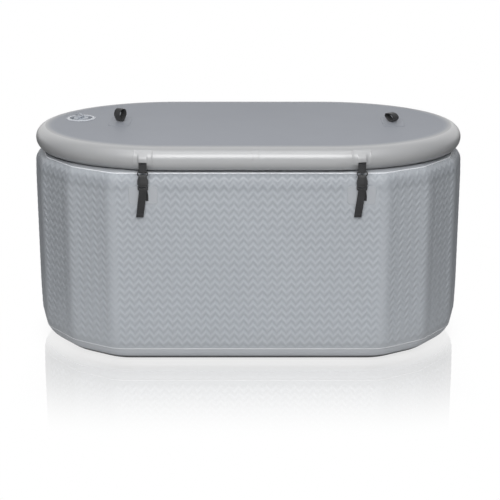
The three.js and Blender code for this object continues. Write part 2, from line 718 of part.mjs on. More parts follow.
const wallValveHole = valveHole().applyMatrix4(wallValveMatrix);
const wallDrainHole = drainHole().applyMatrix4(drainMatrix);
add('wall_core', cut(wallCore(), wallValveHole, wallDrainHole), threads);
add('wall_outer_skin', cut(outerSkin(), wallValveHole, wallDrainHole), wallSheet);
add('wall_inner_skin', cut(innerSkin(), wallDrainHole), wallSheet);
add('wall_top_band', topBand(), bandSheet);
add('wall_bottom_band', bottomBand(), bandSheet);
const floorRise = INNER_FOOT_RADIUS - FLOOR_THICKNESS;
const floorInset = WALL - INNER_FOOT_RADIUS + Math.sqrt(INNER_FOOT_RADIUS ** 2 - floorRise ** 2) + GAP;
add('floor_sheet', plateSolid(wallRing, floorInset, 0, FLOOR_THICKNESS), bandSheet);
addDrain();
addValve('wall_valve', WALL_VALVE, wallValveMatrix);

const lidHole = valveHole().applyMatrix4(lidValveMatrix);
const coreInset = RAIL_RADIUS + GAP;
const skinTop = LID_TOP - SHEET;
const skinBottom = TUB_HEIGHT + SHEET;
add('lid_core', cut(plateSolid(lidRing, coreInset, skinBottom + GAP, skinTop - GAP), lidHole), threads);
add('lid_top_skin', cut(plateSolid(lidRing, coreInset, skinTop, LID_TOP), lidHole), lidSheet);
add('lid_bottom_skin', plateSolid(lidRing, coreInset, TUB_HEIGHT, skinBottom), lidSheet);
const railSection = arc(RAIL_RADIUS, CENTRE_LID, RAIL_RADIUS, 90, 270, RAIL_STEPS);
add('lid_side_band', ringSolid(lidRing, railSection), railSheet);
addValve('lid_valve', LID_VALVE, lidValveMatrix);
for (const [side, handle] of [['left', LEFT_HANDLE], ['right', RIGHT_HANDLE]]) {
  add(`handle_patch_${side}`, handlePatch(handle), lidSheet);
  add(`lid_handle_${side}`, handleLoop(handle), webbing);
}

addStrap('front_left', STRAP_X.frontLeft, 0);
addStrap('front_right', STRAP_X.frontRight, 0);
addStrap('rear_left', STRAP_X.rear, Math.PI);
addStrap('rear_right', -STRAP_X.rear, Math.PI);

export default tub;
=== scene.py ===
import json
import math

import bmesh
import bpy
from mathutils import Matrix, Vector

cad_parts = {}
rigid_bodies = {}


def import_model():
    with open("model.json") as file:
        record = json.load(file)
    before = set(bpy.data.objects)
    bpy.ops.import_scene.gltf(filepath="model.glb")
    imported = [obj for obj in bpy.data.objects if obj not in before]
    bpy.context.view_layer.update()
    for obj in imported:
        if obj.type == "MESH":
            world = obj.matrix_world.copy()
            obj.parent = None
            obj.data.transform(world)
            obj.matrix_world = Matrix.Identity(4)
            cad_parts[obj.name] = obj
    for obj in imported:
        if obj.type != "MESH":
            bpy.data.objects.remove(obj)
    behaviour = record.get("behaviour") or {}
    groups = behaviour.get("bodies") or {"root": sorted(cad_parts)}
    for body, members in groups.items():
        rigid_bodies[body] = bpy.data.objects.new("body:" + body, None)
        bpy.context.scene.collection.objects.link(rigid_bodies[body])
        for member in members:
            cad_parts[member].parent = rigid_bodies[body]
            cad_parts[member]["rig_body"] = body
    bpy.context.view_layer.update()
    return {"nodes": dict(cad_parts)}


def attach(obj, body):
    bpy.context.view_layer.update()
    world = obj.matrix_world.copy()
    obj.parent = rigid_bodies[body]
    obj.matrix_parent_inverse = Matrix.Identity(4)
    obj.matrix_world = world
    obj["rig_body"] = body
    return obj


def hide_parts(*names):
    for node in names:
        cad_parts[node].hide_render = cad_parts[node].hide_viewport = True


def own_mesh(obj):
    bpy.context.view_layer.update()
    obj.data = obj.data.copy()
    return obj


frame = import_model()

# Sizes in millimetres, as in the CAD model. Meshes are made in metres.
MM = 0.001
WALL_LENGTH, WIDTH, TUB_HEIGHT, LID_TOP = 1512, 800, 680, 760
WALL, EDGE, SHEET = 100, 50, 1.2
FACET_HEADINGS = (31, 52, 77)
CREASE_RADIUS, INNER_CREASE_RADIUS, BASE_CREASE_GROWTH = 80, 8, 120
ZIGZAGS, RIDGES = 122, 24.5
TOP_SEAM_ANGLE, VISIBLE_SEAM_ANGLE, COVERED_SEAM_ANGLE = 48, 57, 78
BASE_RADIUS, INNER_FOOT_RADIUS, BOTTOM_SEAM = 85, 12, 58
BASE_SEAM_ANGLE = math.degrees(math.asin(1 - BOTTOM_SEAM / BASE_RADIUS))
LID_STRAIGHT, LID_END, LID_HALF, RAIL = 266, 484, 402, 40
RAIL_CENTRE = TUB_HEIGHT + RAIL
FRONT_LEFT_STRAP, FRONT_RIGHT_STRAP, REAR_STRAP = -348, 375, 365
# Every strap is made at the front. The rear ones are then turned half round with their place.
STRAPS = {"front_left": (FRONT_LEFT_STRAP, 0), "front_right": (FRONT_RIGHT_STRAP, 0),
          "rear_left": (REAR_STRAP, math.pi), "rear_right": (-REAR_STRAP, math.pi)}
WEBBING_WIDTH, WEBBING = 25, 1.6
BUCKLE_OUT = 8
BUCKLE_MIDDLE = -WIDTH / 2 - BUCKLE_OUT
PATCH_SEAT, UNDER_WEBBING = 0.3, SHEET + 0.6
WALL_PATCH_HEIGHT, WALL_PATCH_HALF = 604, (48, 30)


# Node trees

class Term:
    """A socket of a node tree. Arithmetic on terms adds Math nodes."""

    def __init__(self, tree, socket):
        self.tree = tree
        self.socket = socket

    def out(self, key):
        return Term(self.tree, self.socket.node.outputs[key])

    def __add__(self, other):
        return self.tree.math("ADD", self, other)

    def __radd__(self, other):
        return self.tree.math("ADD", other, self)

    def __sub__(self, other):
        return self.tree.math("SUBTRACT", self, other)

    def __rsub__(self, other):
        return self.tree.math("SUBTRACT", other, self)

    def __mul__(self, other):
        return self.tree.math("MULTIPLY", self, other)

    def __rmul__(self, other):
        return self.tree.math("MULTIPLY", other, self)

    def __truediv__(self, other):
        return self.tree.math("DIVIDE", self, other)

    def __rtruediv__(self, other):
        return self.tree.math("DIVIDE", other, self)

    def __gt__(self, other):
        return self.tree.math("GREATER_THAN", self, other)

    def __lt__(self, other):
        return self.tree.math("LESS_THAN", self, other)

    def __abs__(self):
        return self.tree.math("ABSOLUTE", self)


class Tree:
    """A node tree, with one method for each kind of node that is used often."""

    def __init__(self, tree):
        self.tree = tree

    def node(self, kind, settings=None, sockets=None, out=0):
        made = self.tree.nodes.new(kind)
        for name, value in (settings or {}).items():
            setattr(made, name, value)
        for key, value in (sockets or {}).items():
            if isinstance(value, Term):
                self.tree.links.new(value.socket, made.inputs[key])
            else:
                made.inputs[key].default_value = value
        return Term(self, made.outputs[out] if made.outputs else None)

    def math(self, operation, *values):
        return self.node("ShaderNodeMath", {"operation": operation}, dict(enumerate(values)))

    def vector_math(self, operation, *values, out=0):
        return self.node("ShaderNodeVectorMath", {"operation": operation}, dict(enumerate(values)), out)

    def mixed(self, factor, first, second):
        """A colour between two others."""
        return self.node("ShaderNodeMix", {"data_type": "RGBA"}, {0: factor, 6: first, 7: second}, out=2)

    def clamped(self, value):
        return self.node("ShaderNodeClamp", sockets={"Value": value})

    def smooth(self, value, low, high):
        return self.node("ShaderNodeMapRange", {"interpolation_type": "SMOOTHSTEP"},
                         {"Value": value, "From Min": low, "From Max": high})

    def parts(self, vector):
        split = self.node("ShaderNodeSeparateXYZ", sockets={0: vector})
        return split, split.out("Y"), split.out("Z")

    def joined(self, x, y, z):
        return self.node("ShaderNodeCombineXYZ", sockets={0: x, 1: y, 2: z})


class Shape(Tree):
    """A Geometry Nodes tree with named inputs."""

    def __init__(self, name):
        super().__init__(bpy.data.node_groups.new(name, "GeometryNodeTree"))
        self.tree.interface.new_socket("Geometry", in_out="OUTPUT", socket_type="NodeSocketGeometry")
        self.names = {}
        self.entry = self.tree.nodes.new("NodeGroupInput")

    def input(self, name, kind):
        item = self.tree.interface.new_socket(name, in_out="INPUT", socket_type="NodeSocket" + kind)
        self.names[name] = item.identifier
        return Term(self, self.entry.outputs[name])

    def along(self, curve, share, name):
        """A curve's named value at a share of its length, from a node that also gives place and direction."""
        mark = self.node("GeometryNodeInputNamedAttribute", {"data_type": "FLOAT"}, {"Name": name})
        return self.node("GeometryNodeSampleCurve", {"mode": "FACTOR"},
                         {"Curves": curve, "Value": mark, "Factor": share}, out="Value")

    def between(self, share, first, second):
        """A vector between two others."""
        return self.node("ShaderNodeMix", {"data_type": "VECTOR"}, {0: share, 4: first, 5: second}, out=1)

    def ends_with(self, geometry, material):
        real = self.node("GeometryNodeRealizeInstances", sockets={"Geometry": geometry})
        dressed = self.node("GeometryNodeSetMaterial", sockets={"Geometry": real, "Material": material})
        leaving = self.tree.nodes.new("NodeGroupOutput")
        self.tree.links.new(dressed.socket, leaving.inputs["Geometry"])


class Finish(Tree):
    """A material. Patterns lie on Object coordinates, or on the length and width of a sheet."""

    def __init__(self, name):
        self.material = bpy.data.materials.new(name)
        self.material.use_nodes = True
        super().__init__(self.material.node_tree)
        self.tree.nodes.clear()

    def place(self):
        return self.node("ShaderNodeTexCoord", out="Object")

    def sheet(self):
        return self.parts(self.node("ShaderNodeUVMap", {"uv_map": "sheet"}))

    def noise(self, scale, detail):
        sockets = {"Vector": self.place(), "Scale": scale, "Detail": detail}
        return self.node("ShaderNodeTexNoise", sockets=sockets, out="Fac")

    def bump(self, height, strength, distance):
        sockets = {"Height": height, "Strength": strength, "Distance": distance}
        return self.node("ShaderNodeBump", sockets=sockets)

    def coated(self, **sockets):
        named = {name.replace("_", " "): value for name, value in sockets.items()}
        shader = self.node("ShaderNodeBsdfPrincipled", sockets=named)
        self.shown(shader)

    def shown(self, shader):
        self.node("ShaderNodeOutputMaterial", sockets={"Surface": shader})


def tone(red, green, blue):
    """A screen colour as a linear one."""
    def linear(part):
        part /= 255
        return part / 12.92 if part <= 0.04045 else ((part + 0.055) / 1.055) ** 2.4
    return (linear(red), linear(green), linear(blue), 1.0)


# Finishes

def embossed_sheet():
    """Painted shade in the grooves and in a band where the sheet is drawn round the top edge under the lid's
    rail, grimy near the ground.
    """
    finish = Finish("wall_sheet")
    x, _, z = finish.parts(finish.place())
    along, up, _ = finish.sheet()
    cloud = finish.noise(3.2, 4.0)
    speckle = finish.noise(260.0, 2.0)
    scrim = finish.math("SINE", along * 2600.0) * finish.math("SINE", up * 2600.0)
    groove = finish.node("ShaderNodeAttribute", {"attribute_name": "groove"}, out="Fac")
    grime = finish.smooth(0.16 - z, 0.0, 0.12) * cloud
    colour = finish.mixed(cloud, tone(165, 169, 174), tone(174, 178, 183))
    # Painted shade: a band near the top, where the sheet is drawn round the edge, is painted darker for the
    # shade under the lid's rail.
    drawn = finish.smooth(z, 0.6, 0.645) * (1 - finish.smooth(z, 0.648, 0.67))
    colour = finish.mixed(drawn * 0.85, colour, tone(153, 157, 162))
    # Painted shade: the grooves are painted darker, more on the front's flat middle, where the lamps cast
    # little shade in them.
    flat = 1 - finish.smooth(abs(x), 0.4, 0.56)
    colour = finish.mixed(groove * (0.1 + flat * 0.24), colour, tone(134, 139, 145))
    colour = finish.mixed(grime * 0.25, colour, tone(140, 140, 138))
    finish.coated(
        Base_Color=colour,
        Roughness=0.36 + speckle * 0.12 + groove * 0.08,
        Normal=finish.bump(scrim * 0.3 + speckle, 0.12, 0.0004),
        Specular_IOR_Level=0.45,
    )
    return finish.material


def smooth_sheet(name, dark, light, rough, wavy, weld, gloss=0.5, coat=0.0, seamed=False,
                 foot=0.028, foot_dirt_and_shade=0.95, lower_shade=0.0):
    """Smooth coated sheet, darker below the height of its foot with dirt and painted shade, and with a little
    painted shade above it.

    A seamed one has a pale weld line along its edge, painted near white high up as a painted highlight,
    is painted paler near the ground as painted light, and has its dirt and painted shade only on its outer
    side.
    """
    finish = Finish(name)
    _, _, z = finish.parts(finish.place())
    cloud = finish.noise(4.0, 4.0)
    ripple = finish.noise(26.0, 2.0)
    speckle = finish.noise(420.0, 2.0)
    scuff = finish.smooth(finish.noise(55.0, 6.0), 0.62, 0.75)
    colour = finish.mixed(cloud, dark, light)
    colour = finish.mixed(scuff * 0.12, colour, weld)
    # Painted shade at the foot: a dark contact line at the tub's base with some dirt, and a shadow line under
    # the lid's rail; lower_shade paints shade over the rail's lower half.
    dirt_and_foot_shade = finish.smooth(foot - z, 0.0, 0.009) * foot_dirt_and_shade + finish.smooth(foot + 0.03 - z, 0.0, 0.03) * lower_shade
    if seamed:
        _, over, _ = finish.sheet()
        # Painted highlight and painted light: the weld line is painted near white high up, on the rim, and
        # the band is painted paler near the ground.
        high = finish.smooth(z, 0.3, 0.5)
        line = finish.mixed(high, tone(194, 196, 199), tone(234, 236, 239))
        colour = finish.mixed((1 - high) * 0.6, colour, tone(184, 187, 191))
        colour = finish.mixed(1 - finish.smooth(over, 0.0042, 0.0062), colour, line)
        dirt_and_foot_shade = dirt_and_foot_shade * (1 - finish.smooth(over, 0.10, 0.12))
    colour = finish.mixed(dirt_and_foot_shade, colour, tone(38, 39, 40))
    finish.coated(
        Base_Color=colour,
        Roughness=rough + speckle * 0.08 + scuff * 0.12,
        Normal=finish.bump(ripple * 0.6 + speckle * 0.1, wavy, 0.0012),
        Specular_IOR_Level=gloss,
        Coat_Weight=coat,
        Coat_Roughness=0.38,
    )
    return finish.material


def matte_lid_sheet():
    finish = Finish("lid_sheet")
    x, y, _ = finish.parts(finish.place())
    cloud = finish.noise(2.4, 4.0)
    speckle = finish.noise(380.0, 2.0)
    threads = finish.math("SINE", x * 1570.0) * finish.math("SINE", y * 1570.0)
    dust = finish.smooth(finish.noise(14.0, 5.0), 0.5, 0.8)
    colour = finish.mixed(cloud, *LID_TONES)
    colour = finish.mixed(dust * 0.12, colour, tone(182, 184, 187))
    finish.coated(
        Base_Color=colour,
        Roughness=0.5 + speckle * 0.1 + dust * 0.08,
        Normal=finish.bump(threads * 0.25 + speckle * 0.6, 0.15, 0.0005),
        Specular_IOR_Level=0.4,
    )
    return finish.material


def drawn_lid_sheet():
    """The lid's sheet where it is drawn over the rail: matte on the flat, smoother towards the rail."""
    finish = Finish("lid_edge_sheet")
    _, over, _ = finish.sheet()
    drawn = finish.smooth(over, 0.004, 0.03)
    cloud = finish.noise(2.4, 4.0)
    speckle = finish.noise(380.0, 2.0)
    colour = finish.mixed(drawn, finish.mixed(cloud, *LID_TONES), finish.mixed(cloud, *RAIL_TONES))
    finish.coated(
        Base_Color=colour,
        Roughness=0.52 - drawn * 0.18 + speckle * 0.1,
        Normal=finish.bump(speckle, 0.1, 0.0005),
        Specular_IOR_Level=0.7,
    )
    return finish.material


def woven_webbing(name, dark, light):
    finish = Finish(name)
    along, across, _ = finish.sheet()
    ribs = finish.math("SINE", across * 4200.0)
    side = finish.math("SIGN", ribs)
    picks = finish.math("SINE", along * 3400.0 + side * 1.57 + across * 1700.0)
    weave = 0.5 + 0.25 * (picks + ribs)
    fuzz = finish.noise(900.0, 3.0)
    worn = finish.smooth(finish.noise(36.0, 4.0), 0.45, 0.75)
    colour = finish.mixed(finish.clamped(weave * 0.7 + fuzz * 0.3), dark, light)
    colour = finish.mixed(worn * 0.2, colour, tone(66, 66, 68))
    finish.coated(
        Base_Color=colour,
        Roughness=0.74 + fuzz * 0.2,
        Normal=finish.bump(weave + fuzz * 0.4, 0.5, 0.0004),
        Sheen_Weight=0.25,
        Sheen_Roughness=0.5,
        Specular_IOR_Level=0.3,
    )
    return finish.material


def twisted_thread():
    finish = Finish("stitch_thread")
    x, y, z = finish.parts(finish.place())
    twist = finish.math("SINE", (x + y + z) * 9000.0)
    fuzz = finish.noise(1600.0, 2.0)
    colour = finish.mixed(finish.clamped(0.5 + twist * 0.3 + fuzz * 0.2), tone(40, 40, 42), tone(74, 74, 77))
    finish.coated(
        Base_Color=colour,
        Roughness=0.6 + fuzz * 0.2,
        Normal=finish.bump(twist + fuzz, 0.4, 0.0002),
    )
    return finish.material


def moulded(name, dark, light, rough, grain):
    finish = Finish(name)
    cloud = finish.noise(40.0, 3.0)
    fine = finish.noise(grain, 2.0)
    scratch = finish.smooth(finish.noise(160.0, 6.0), 0.6, 0.72)
    colour = finish.mixed(cloud * 0.8 + scratch * 0.2, dark, light)
    finish.coated(
        Base_Color=colour,
        Roughness=rough + fine * 0.1 + scratch * 0.08,
        Normal=finish.bump(fine + cloud * 0.3, 0.14, 0.0004),
    )
    return finish.material


def flange_plastic(name, matrix):
    """Pale plastic of a valve's flange, with painted shade in the hollow round the cap."""
    finish = Finish(name)
    axis = tuple(matrix.to_3x3() @ Vector((0, 0, 1)))
    offset = finish.vector_math("SUBTRACT", finish.place(), tuple(matrix.translation))
    along = finish.vector_math("DOT_PRODUCT", offset, axis, out="Value")
    square = finish.vector_math("DOT_PRODUCT", offset, offset, out="Value")
    radius = finish.math("SQRT", square - along * along)
    recess_shade = finish.smooth(radius, 0.0265, 0.029) * (1 - finish.smooth(radius, 0.0382, 0.0405))
    fine = finish.noise(500.0, 2.0)
    cloud = finish.noise(40.0, 3.0)
    colour = finish.mixed(cloud, tone(180, 184, 190), tone(194, 197, 202))
    # Painted shade: the hollow round the cap is painted dark blue-grey, where shade falls.
    colour = finish.mixed(recess_shade * (0.75 + cloud * 0.2), colour, tone(72, 80, 94))
    finish.coated(
        Base_Color=colour,
        Roughness=0.22 + fine * 0.1,
        Normal=finish.bump(fine + cloud * 0.3, 0.12, 0.0004),
    )
    return finish.material


def drawn_steel():
    finish = Finish("spring_steel")
    streak = finish.noise(700.0, 3.0)
    colour = finish.mixed(streak, tone(150, 152, 156), tone(196, 198, 202))
    finish.coated(Base_Color=colour, Metallic=1.0, Roughness=0.24 + streak * 0.16)
    return finish.material


def thread_core():
    finish = Finish("air_threads")
    x, _, z = finish.parts(finish.place())
    strands = finish.math("SINE", x * 1250.0) * finish.math("SINE", z * 1250.0)
    fuzz = finish.noise(300.0, 3.0)
    colour = finish.mixed(finish.clamped(0.5 + strands * 0.4), tone(190, 190, 186), tone(222, 222, 218))
    finish.coated(
        Base_Color=colour,
        Roughness=0.85 + fuzz * 0.1,
        Normal=finish.bump(strands + fuzz, 0.4, 0.001),
    )
    return finish.material


WALL_SHEET = embossed_sheet()
BAND_TONES = tone(162, 165, 170), tone(171, 174, 178)
RAIL_TONES = tone(160, 161, 162), tone(168, 168, 169)
LID_TONES = tone(139, 142, 149), tone(149, 152, 159)
PALE_WELD = tone(186, 188, 191)
# The band's foot carries dirt and a painted contact shade.
BAND_SHEET = smooth_sheet("band_sheet", *BAND_TONES, 0.44, 0.06, PALE_WELD, seamed=True)
PATCH_SHEET = smooth_sheet("patch_sheet", *BAND_TONES, 0.44, 0.06, PALE_WELD)
# The rail's sheet has a painted shadow line along its foot and painted shade over its lower half.
RAIL_SHEET = smooth_sheet("rail_sheet", *RAIL_TONES, 0.36, 0.03, tone(176, 177, 178), gloss=1.0, coat=0.9,
                          foot=0.69, foot_dirt_and_shade=0.55, lower_shade=0.2)
INNER_SHEET = smooth_sheet("inner_sheet", tone(158, 162, 167), tone(168, 172, 176), 0.38, 0.08, PALE_WELD,
                           foot_dirt_and_shade=0.0)
LID_SHEET = matte_lid_sheet()
LID_EDGE_SHEET = drawn_lid_sheet()
STRAP_WEBBING = woven_webbing("webbing", tone(22, 22, 24), tone(56, 56, 57))
STITCH_THREAD = twisted_thread()
BLACK_PLASTIC = moulded("black_plastic", tone(40, 40, 41), tone(58, 58, 58), 0.36, 900.0)
# Painted shade: the cap's plastic is painted a darker blue-grey, for the shade that the lid's valve sits in.
PALE_PLASTIC = moulded("pale_plastic", tone(152, 158, 167), tone(168, 173, 180), 0.26, 500.0)
SEAL_RUBBER = moulded("seal_rubber", tone(40, 40, 42), tone(62, 62, 64), 0.62, 700.0)
SPRING_STEEL = drawn_steel()
AIR_THREADS = thread_core()


# Meshes

def linked(name, data):
    made = bpy.data.objects.new(name, data)
    bpy.context.scene.collection.objects.link(made)
    return made


def piece_from(name, points, faces, material, sharp=40):
    """A piece from points in millimetres."""
    mesh = bpy.data.meshes.new(name)
    mesh.from_pydata([tuple(MM * part for part in point) for point in points], [], faces)
    mesh.materials.append(material)
    piece = linked(name, mesh)
    tidy(piece, sharp)
    return piece


def tidy(piece, sharp=40):
    """Closes doubled points, turns the faces outwards and smooths all but the sharp edges."""
    work = bmesh.new()
    work.from_mesh(piece.data)
    bmesh.ops.remove_doubles(work, verts=work.verts, dist=2e-6)
    bmesh.ops.dissolve_degenerate(work, edges=work.edges, dist=1e-7)
    bmesh.ops.recalc_face_normals(work, faces=work.faces)
    work.to_mesh(piece.data)
    work.free()
    piece.data.shade_smooth()
    piece.data.set_sharp_from_angle(angle=math.radians(sharp))


def settled(piece, sharp=40):
    """Turns the piece's modifiers into plain mesh."""
    graph = bpy.context.evaluated_depsgraph_get()
    mesh = bpy.data.meshes.new_from_object(piece.evaluated_get(graph), depsgraph=graph)
    piece.modifiers.clear()
    old = piece.data
    piece.data = mesh
    bpy.data.meshes.remove(old)
    mesh.name = piece.name
    tidy(piece, sharp)
    return piece


def carved(piece, cutters, operation="DIFFERENCE", sharp=40):
    """Takes the cutters away from the piece, or joins them to it, and uses them up."""
    for cutter in cutters:
        change = piece.modifiers.new("carve", "BOOLEAN")
        change.operation = operation
        change.solver = "MANIFOLD"
        change.object = cutter
    settled(piece, sharp)
    for cutter in cutters:
        bpy.data.objects.remove(cutter)
    return piece


def eased(piece, width, segments=2, angle=35):
    """Rounds the piece's edges by a width in millimetres."""
    bevel = piece.modifiers.new("ease", "BEVEL")
    bevel.width = width * MM
    bevel.segments = segments
    bevel.limit_method = "ANGLE"
    bevel.angle_limit = math.radians(angle)
    return settled(piece, 30)


def moved(piece, matrix):
    piece.data.transform(matrix)
    if matrix.determinant() < 0:
        piece.data.flip_normals()
    return piece


def skin(rows, count, closed=False):
    """Faces over rows of points with equal counts. The last row is joined to the first where closed."""
    faces = []
    for row in range(rows if closed else rows - 1):
        low, high = row * count, (row + 1) % rows * count
        for i in range(count):
            j = (i + 1) % count
            faces.append((low + i, low + j, high + j, high + i))
    return faces


def end_caps(rows, count):
    last = (rows - 1) * count
    return [tuple(reversed(range(count))), tuple(range(last, last + count))]


def loft(name, loops, material, closed=False, sharp=40):
    """Skin over a row of loops of points with equal counts, capped at both ends unless it is closed."""
    rows, count = len(loops), len(loops[0])
    points = [point for loop in loops for point in loop]
    faces = skin(rows, count, closed) + ([] if closed else end_caps(rows, count))
    return piece_from(name, points, faces, material, sharp)


def arc(x, y, radius, start, end, steps):
    angles = [math.radians(start + (end - start) * i / steps) for i in range(steps + 1)]
    return [(x + radius * math.cos(a), y + radius * math.sin(a)) for a in angles]


def rounded_outline(half_x, low, high, radius, steps=4):
    """Counter-clockwise outline of a rounded rectangle, symmetric about x 0."""
    right, left = half_x - radius, radius - half_x
    bottom, top = low + radius, high - radius
    return (arc(right, bottom, radius, -90, 0, steps) + arc(right, top, radius, 0, 90, steps)
            + arc(left, top, radius, 90, 180, steps) + arc(left, bottom, radius, 180, 270, steps))


def softened(profile, radius, closed):
    """Replaces the corners of a profile by small arcs."""
    count, steps = len(profile), 3
    result = []
    for i, point in enumerate(profile):
        here = Vector(point)
        if not closed and i in (0, count - 1):
            result.append(tuple(here))
            continue
        back = Vector(profile[i - 1]) - here
        on = Vector(profile[(i + 1) % count]) - here
        reach = min(radius, 0.4 * back.length, 0.4 * on.length)
        start, end = here + back.normalized() * reach, here + on.normalized() * reach
        for step in range(steps + 1):
            t = step / steps
            result.append(tuple(start * (1 - t) ** 2 + here * 2 * t * (1 - t) + end * t ** 2))
    return result


def turned(name, profile, material, sides=64, closed=False, soft=0.5):
    """A profile of radius and height turned about Z. An open profile starts and ends on the axis."""
    outline = softened(profile, soft, closed)
    points = []
    for radius, height in outline:
        for side in range(sides):
            angle = 2 * math.pi * side / sides
            points.append((radius * math.cos(angle), radius * math.sin(angle), height))
    return piece_from(name, points, skin(len(outline), sides, closed), material)


def block(name, size, centre, material):
    half = [0.5 * part for part in size]
    corners = [(centre[0] + sx * half[0], centre[1] + sy * half[1])
               for sx, sy in ((-1, -1), (1, -1), (1, 1), (-1, 1))]
    loops = [[(x, y, centre[2] + side * half[2]) for x, y in corners] for side in (-1, 1)]
    return loft(name, loops, material)


def smooth_path(points, spacing):
    """Points along a smooth curve through the given ones, about evenly spaced."""
    knots = [Vector(point) for point in points]
    ends = [2 * knots[0] - knots[1]] + knots + [2 * knots[-1] - knots[-2]]
    result = [knots[0]]
    for i in range(1, len(ends) - 2):
        before, start, end, after = ends[i - 1:i + 3]
        steps = max(1, round((end - start).length / spacing))
        for step in range(1, steps + 1):
            t = step / steps
            result.append(0.5 * (2 * start + (end - before) * t
                                 + (2 * before - 5 * start + 4 * end - after) * t ** 2
                                 + (3 * start - before - 3 * end + after) * t ** 3))
    return result


def ribbon(name, path, across, width, thickness, material):
    """Flat webbing along a path, with rounded selvedges and its length and width as a UV map."""
    half, edge = width / 2, thickness / 2
    section = [(-half + 0.5, edge), (-half * 0.6, edge), (0, edge), (half * 0.6, edge), (half - 0.5, edge),
               (half - 0.1, edge * 0.5), (half, 0), (half - 0.1, -edge * 0.5), (half - 0.5, -edge),
               (half * 0.6, -edge), (0, -edge), (-half * 0.6, -edge), (-half + 0.5, -edge),
               (-half + 0.1, -edge * 0.5), (-half, 0), (-half + 0.1, edge * 0.5)]
    rows, count = len(path), len(section)
    points, travelled = [], [0.0]
    for i, point in enumerate(path):
        along = path[min(i + 1, rows - 1)] - path[max(i - 1, 0)]
        side = across[i] if isinstance(across, list) else Vector(across)
        out = along.cross(side).normalized()
        # The ends are pressed a little thinner
        pressed = 0.8 if i in (0, rows - 1) else 1.0
        points += [tuple(MM * part for part in point + side * u + out * v * pressed) for u, v in section]
        if i:
            travelled.append(travelled[-1] + (point - path[i - 1]).length)
    mesh = bpy.data.meshes.new(name)
    mesh.from_pydata(points, [], skin(rows, count) + end_caps(rows, count))
    layer = mesh.uv_layers.new(name="sheet")
    for corner in mesh.loops:
        row, place = divmod(corner.vertex_index, count)
        layer.data[corner.index].uv = MM * travelled[row], MM * section[place][0]
    mesh.materials.append(material)
    piece = linked(name, mesh)
    tidy(piece, 50)
    return piece


# Plans of the wall and of the lid, moved inwards by an inset

def wall_corners():
    headings = [math.radians(angle) for angle in FACET_HEADINGS]
    facet = WIDTH / 2 / sum(math.sin(angle) for angle in headings)
    corner = Vector((WALL_LENGTH / 2 - facet * sum(math.cos(angle) for angle in headings), -WIDTH / 2))
    quarter = [corner]
    for angle in headings:
        corner = corner + facet * Vector((math.cos(angle), math.sin(angle)))
        quarter.append(corner)
    right = quarter + [Vector((p.x, -p.y)) for p in reversed(quarter[:-1])]
    return right + [-p for p in right]


WALL_CORNERS = wall_corners()


def wall_plan(inset=0.0, steps=8, growth=0.0):
    """The wall's outline from the front's middle, and how far each point is into a crease, from 0 to 1."""
    count = len(WALL_CORNERS)
    radius = max(CREASE_RADIUS + growth - inset, INNER_CREASE_RADIUS)
    outline, crease = [Vector((0, inset - WIDTH / 2))], [0.0]
    for i, corner in enumerate(WALL_CORNERS):
        to, on = corner - WALL_CORNERS[i - 1], WALL_CORNERS[(i + 1) % count] - corner
        before = math.atan2(to.y, to.x)
        turn = (math.atan2(on.y, on.x) - before) % (2 * math.pi)
        inwards = before + turn / 2 + math.pi / 2
        reach = (inset + radius) / math.cos(turn / 2)
        centre = corner + reach * Vector((math.cos(inwards), math.sin(inwards)))
        for step in range(steps + 1):
            angle = before + turn * step / steps - math.pi / 2
            outline.append(centre + radius * Vector((math.cos(angle), math.sin(angle))))
            crease.append(math.sin(math.pi * step / steps))
    return outline, crease


def raised(point):
    """How far a crease between two facets stands out at a point of the plan, from 0 to 1."""
    nearest = min((point - corner).length for corner in WALL_CORNERS)
    return math.exp(-(max(0.0, nearest - 3) / 30) ** 2)


def roundness(inset, z):
    """How far a ring's creases have grown, from 0 to 1: they do at the base and on the inner side."""
    inner = (inset + INNER_CREASE_RADIUS - CREASE_RADIUS) / BASE_CREASE_GROWTH
    return min(1.0, max(0.0, 1 - z / BASE_RADIUS, inner))


def lid_plan(inset=0.0):
    """The lid's outline: two half ellipses with straight sides between them."""
    steps = 72
    outline = []
    for side in (1, -1):
        for step in range(steps + 1):
            angle = math.radians(-90 + 180 * step / steps)
            normal = Vector((math.cos(angle) / LID_END, math.sin(angle) / LID_HALF)).normalized() * inset
            x = LID_STRAIGHT + LID_END * math.cos(angle) - normal.x
            y = LID_HALF * math.sin(angle) - normal.y
            outline.append(Vector((side * x, side * y)))
    return outline


def evenly(outline, count, values=None):
    """Points evenly spaced round a closed outline, with their values."""
    marks = values or [0.0] * len(outline)
    spans = [(outline[(i + 1) % len(outline)] - p).length for i, p in enumerate(outline)]
    total = sum(spans)
    result, levels = [], []
    segment, passed = 0, 0.0
    for i in range(count):
        at = total * i / count
        while passed + spans[segment] < at:
            passed += spans[segment]
            segment += 1
        share = (at - passed) / spans[segment] if spans[segment] else 0.0
        following = (segment + 1) % len(outline)
        result.append(outline[segment].lerp(outline[following], share))
        levels.append(marks[segment] * (1 - share) + marks[following] * share)
    return result, levels


# Sheets led round a plan

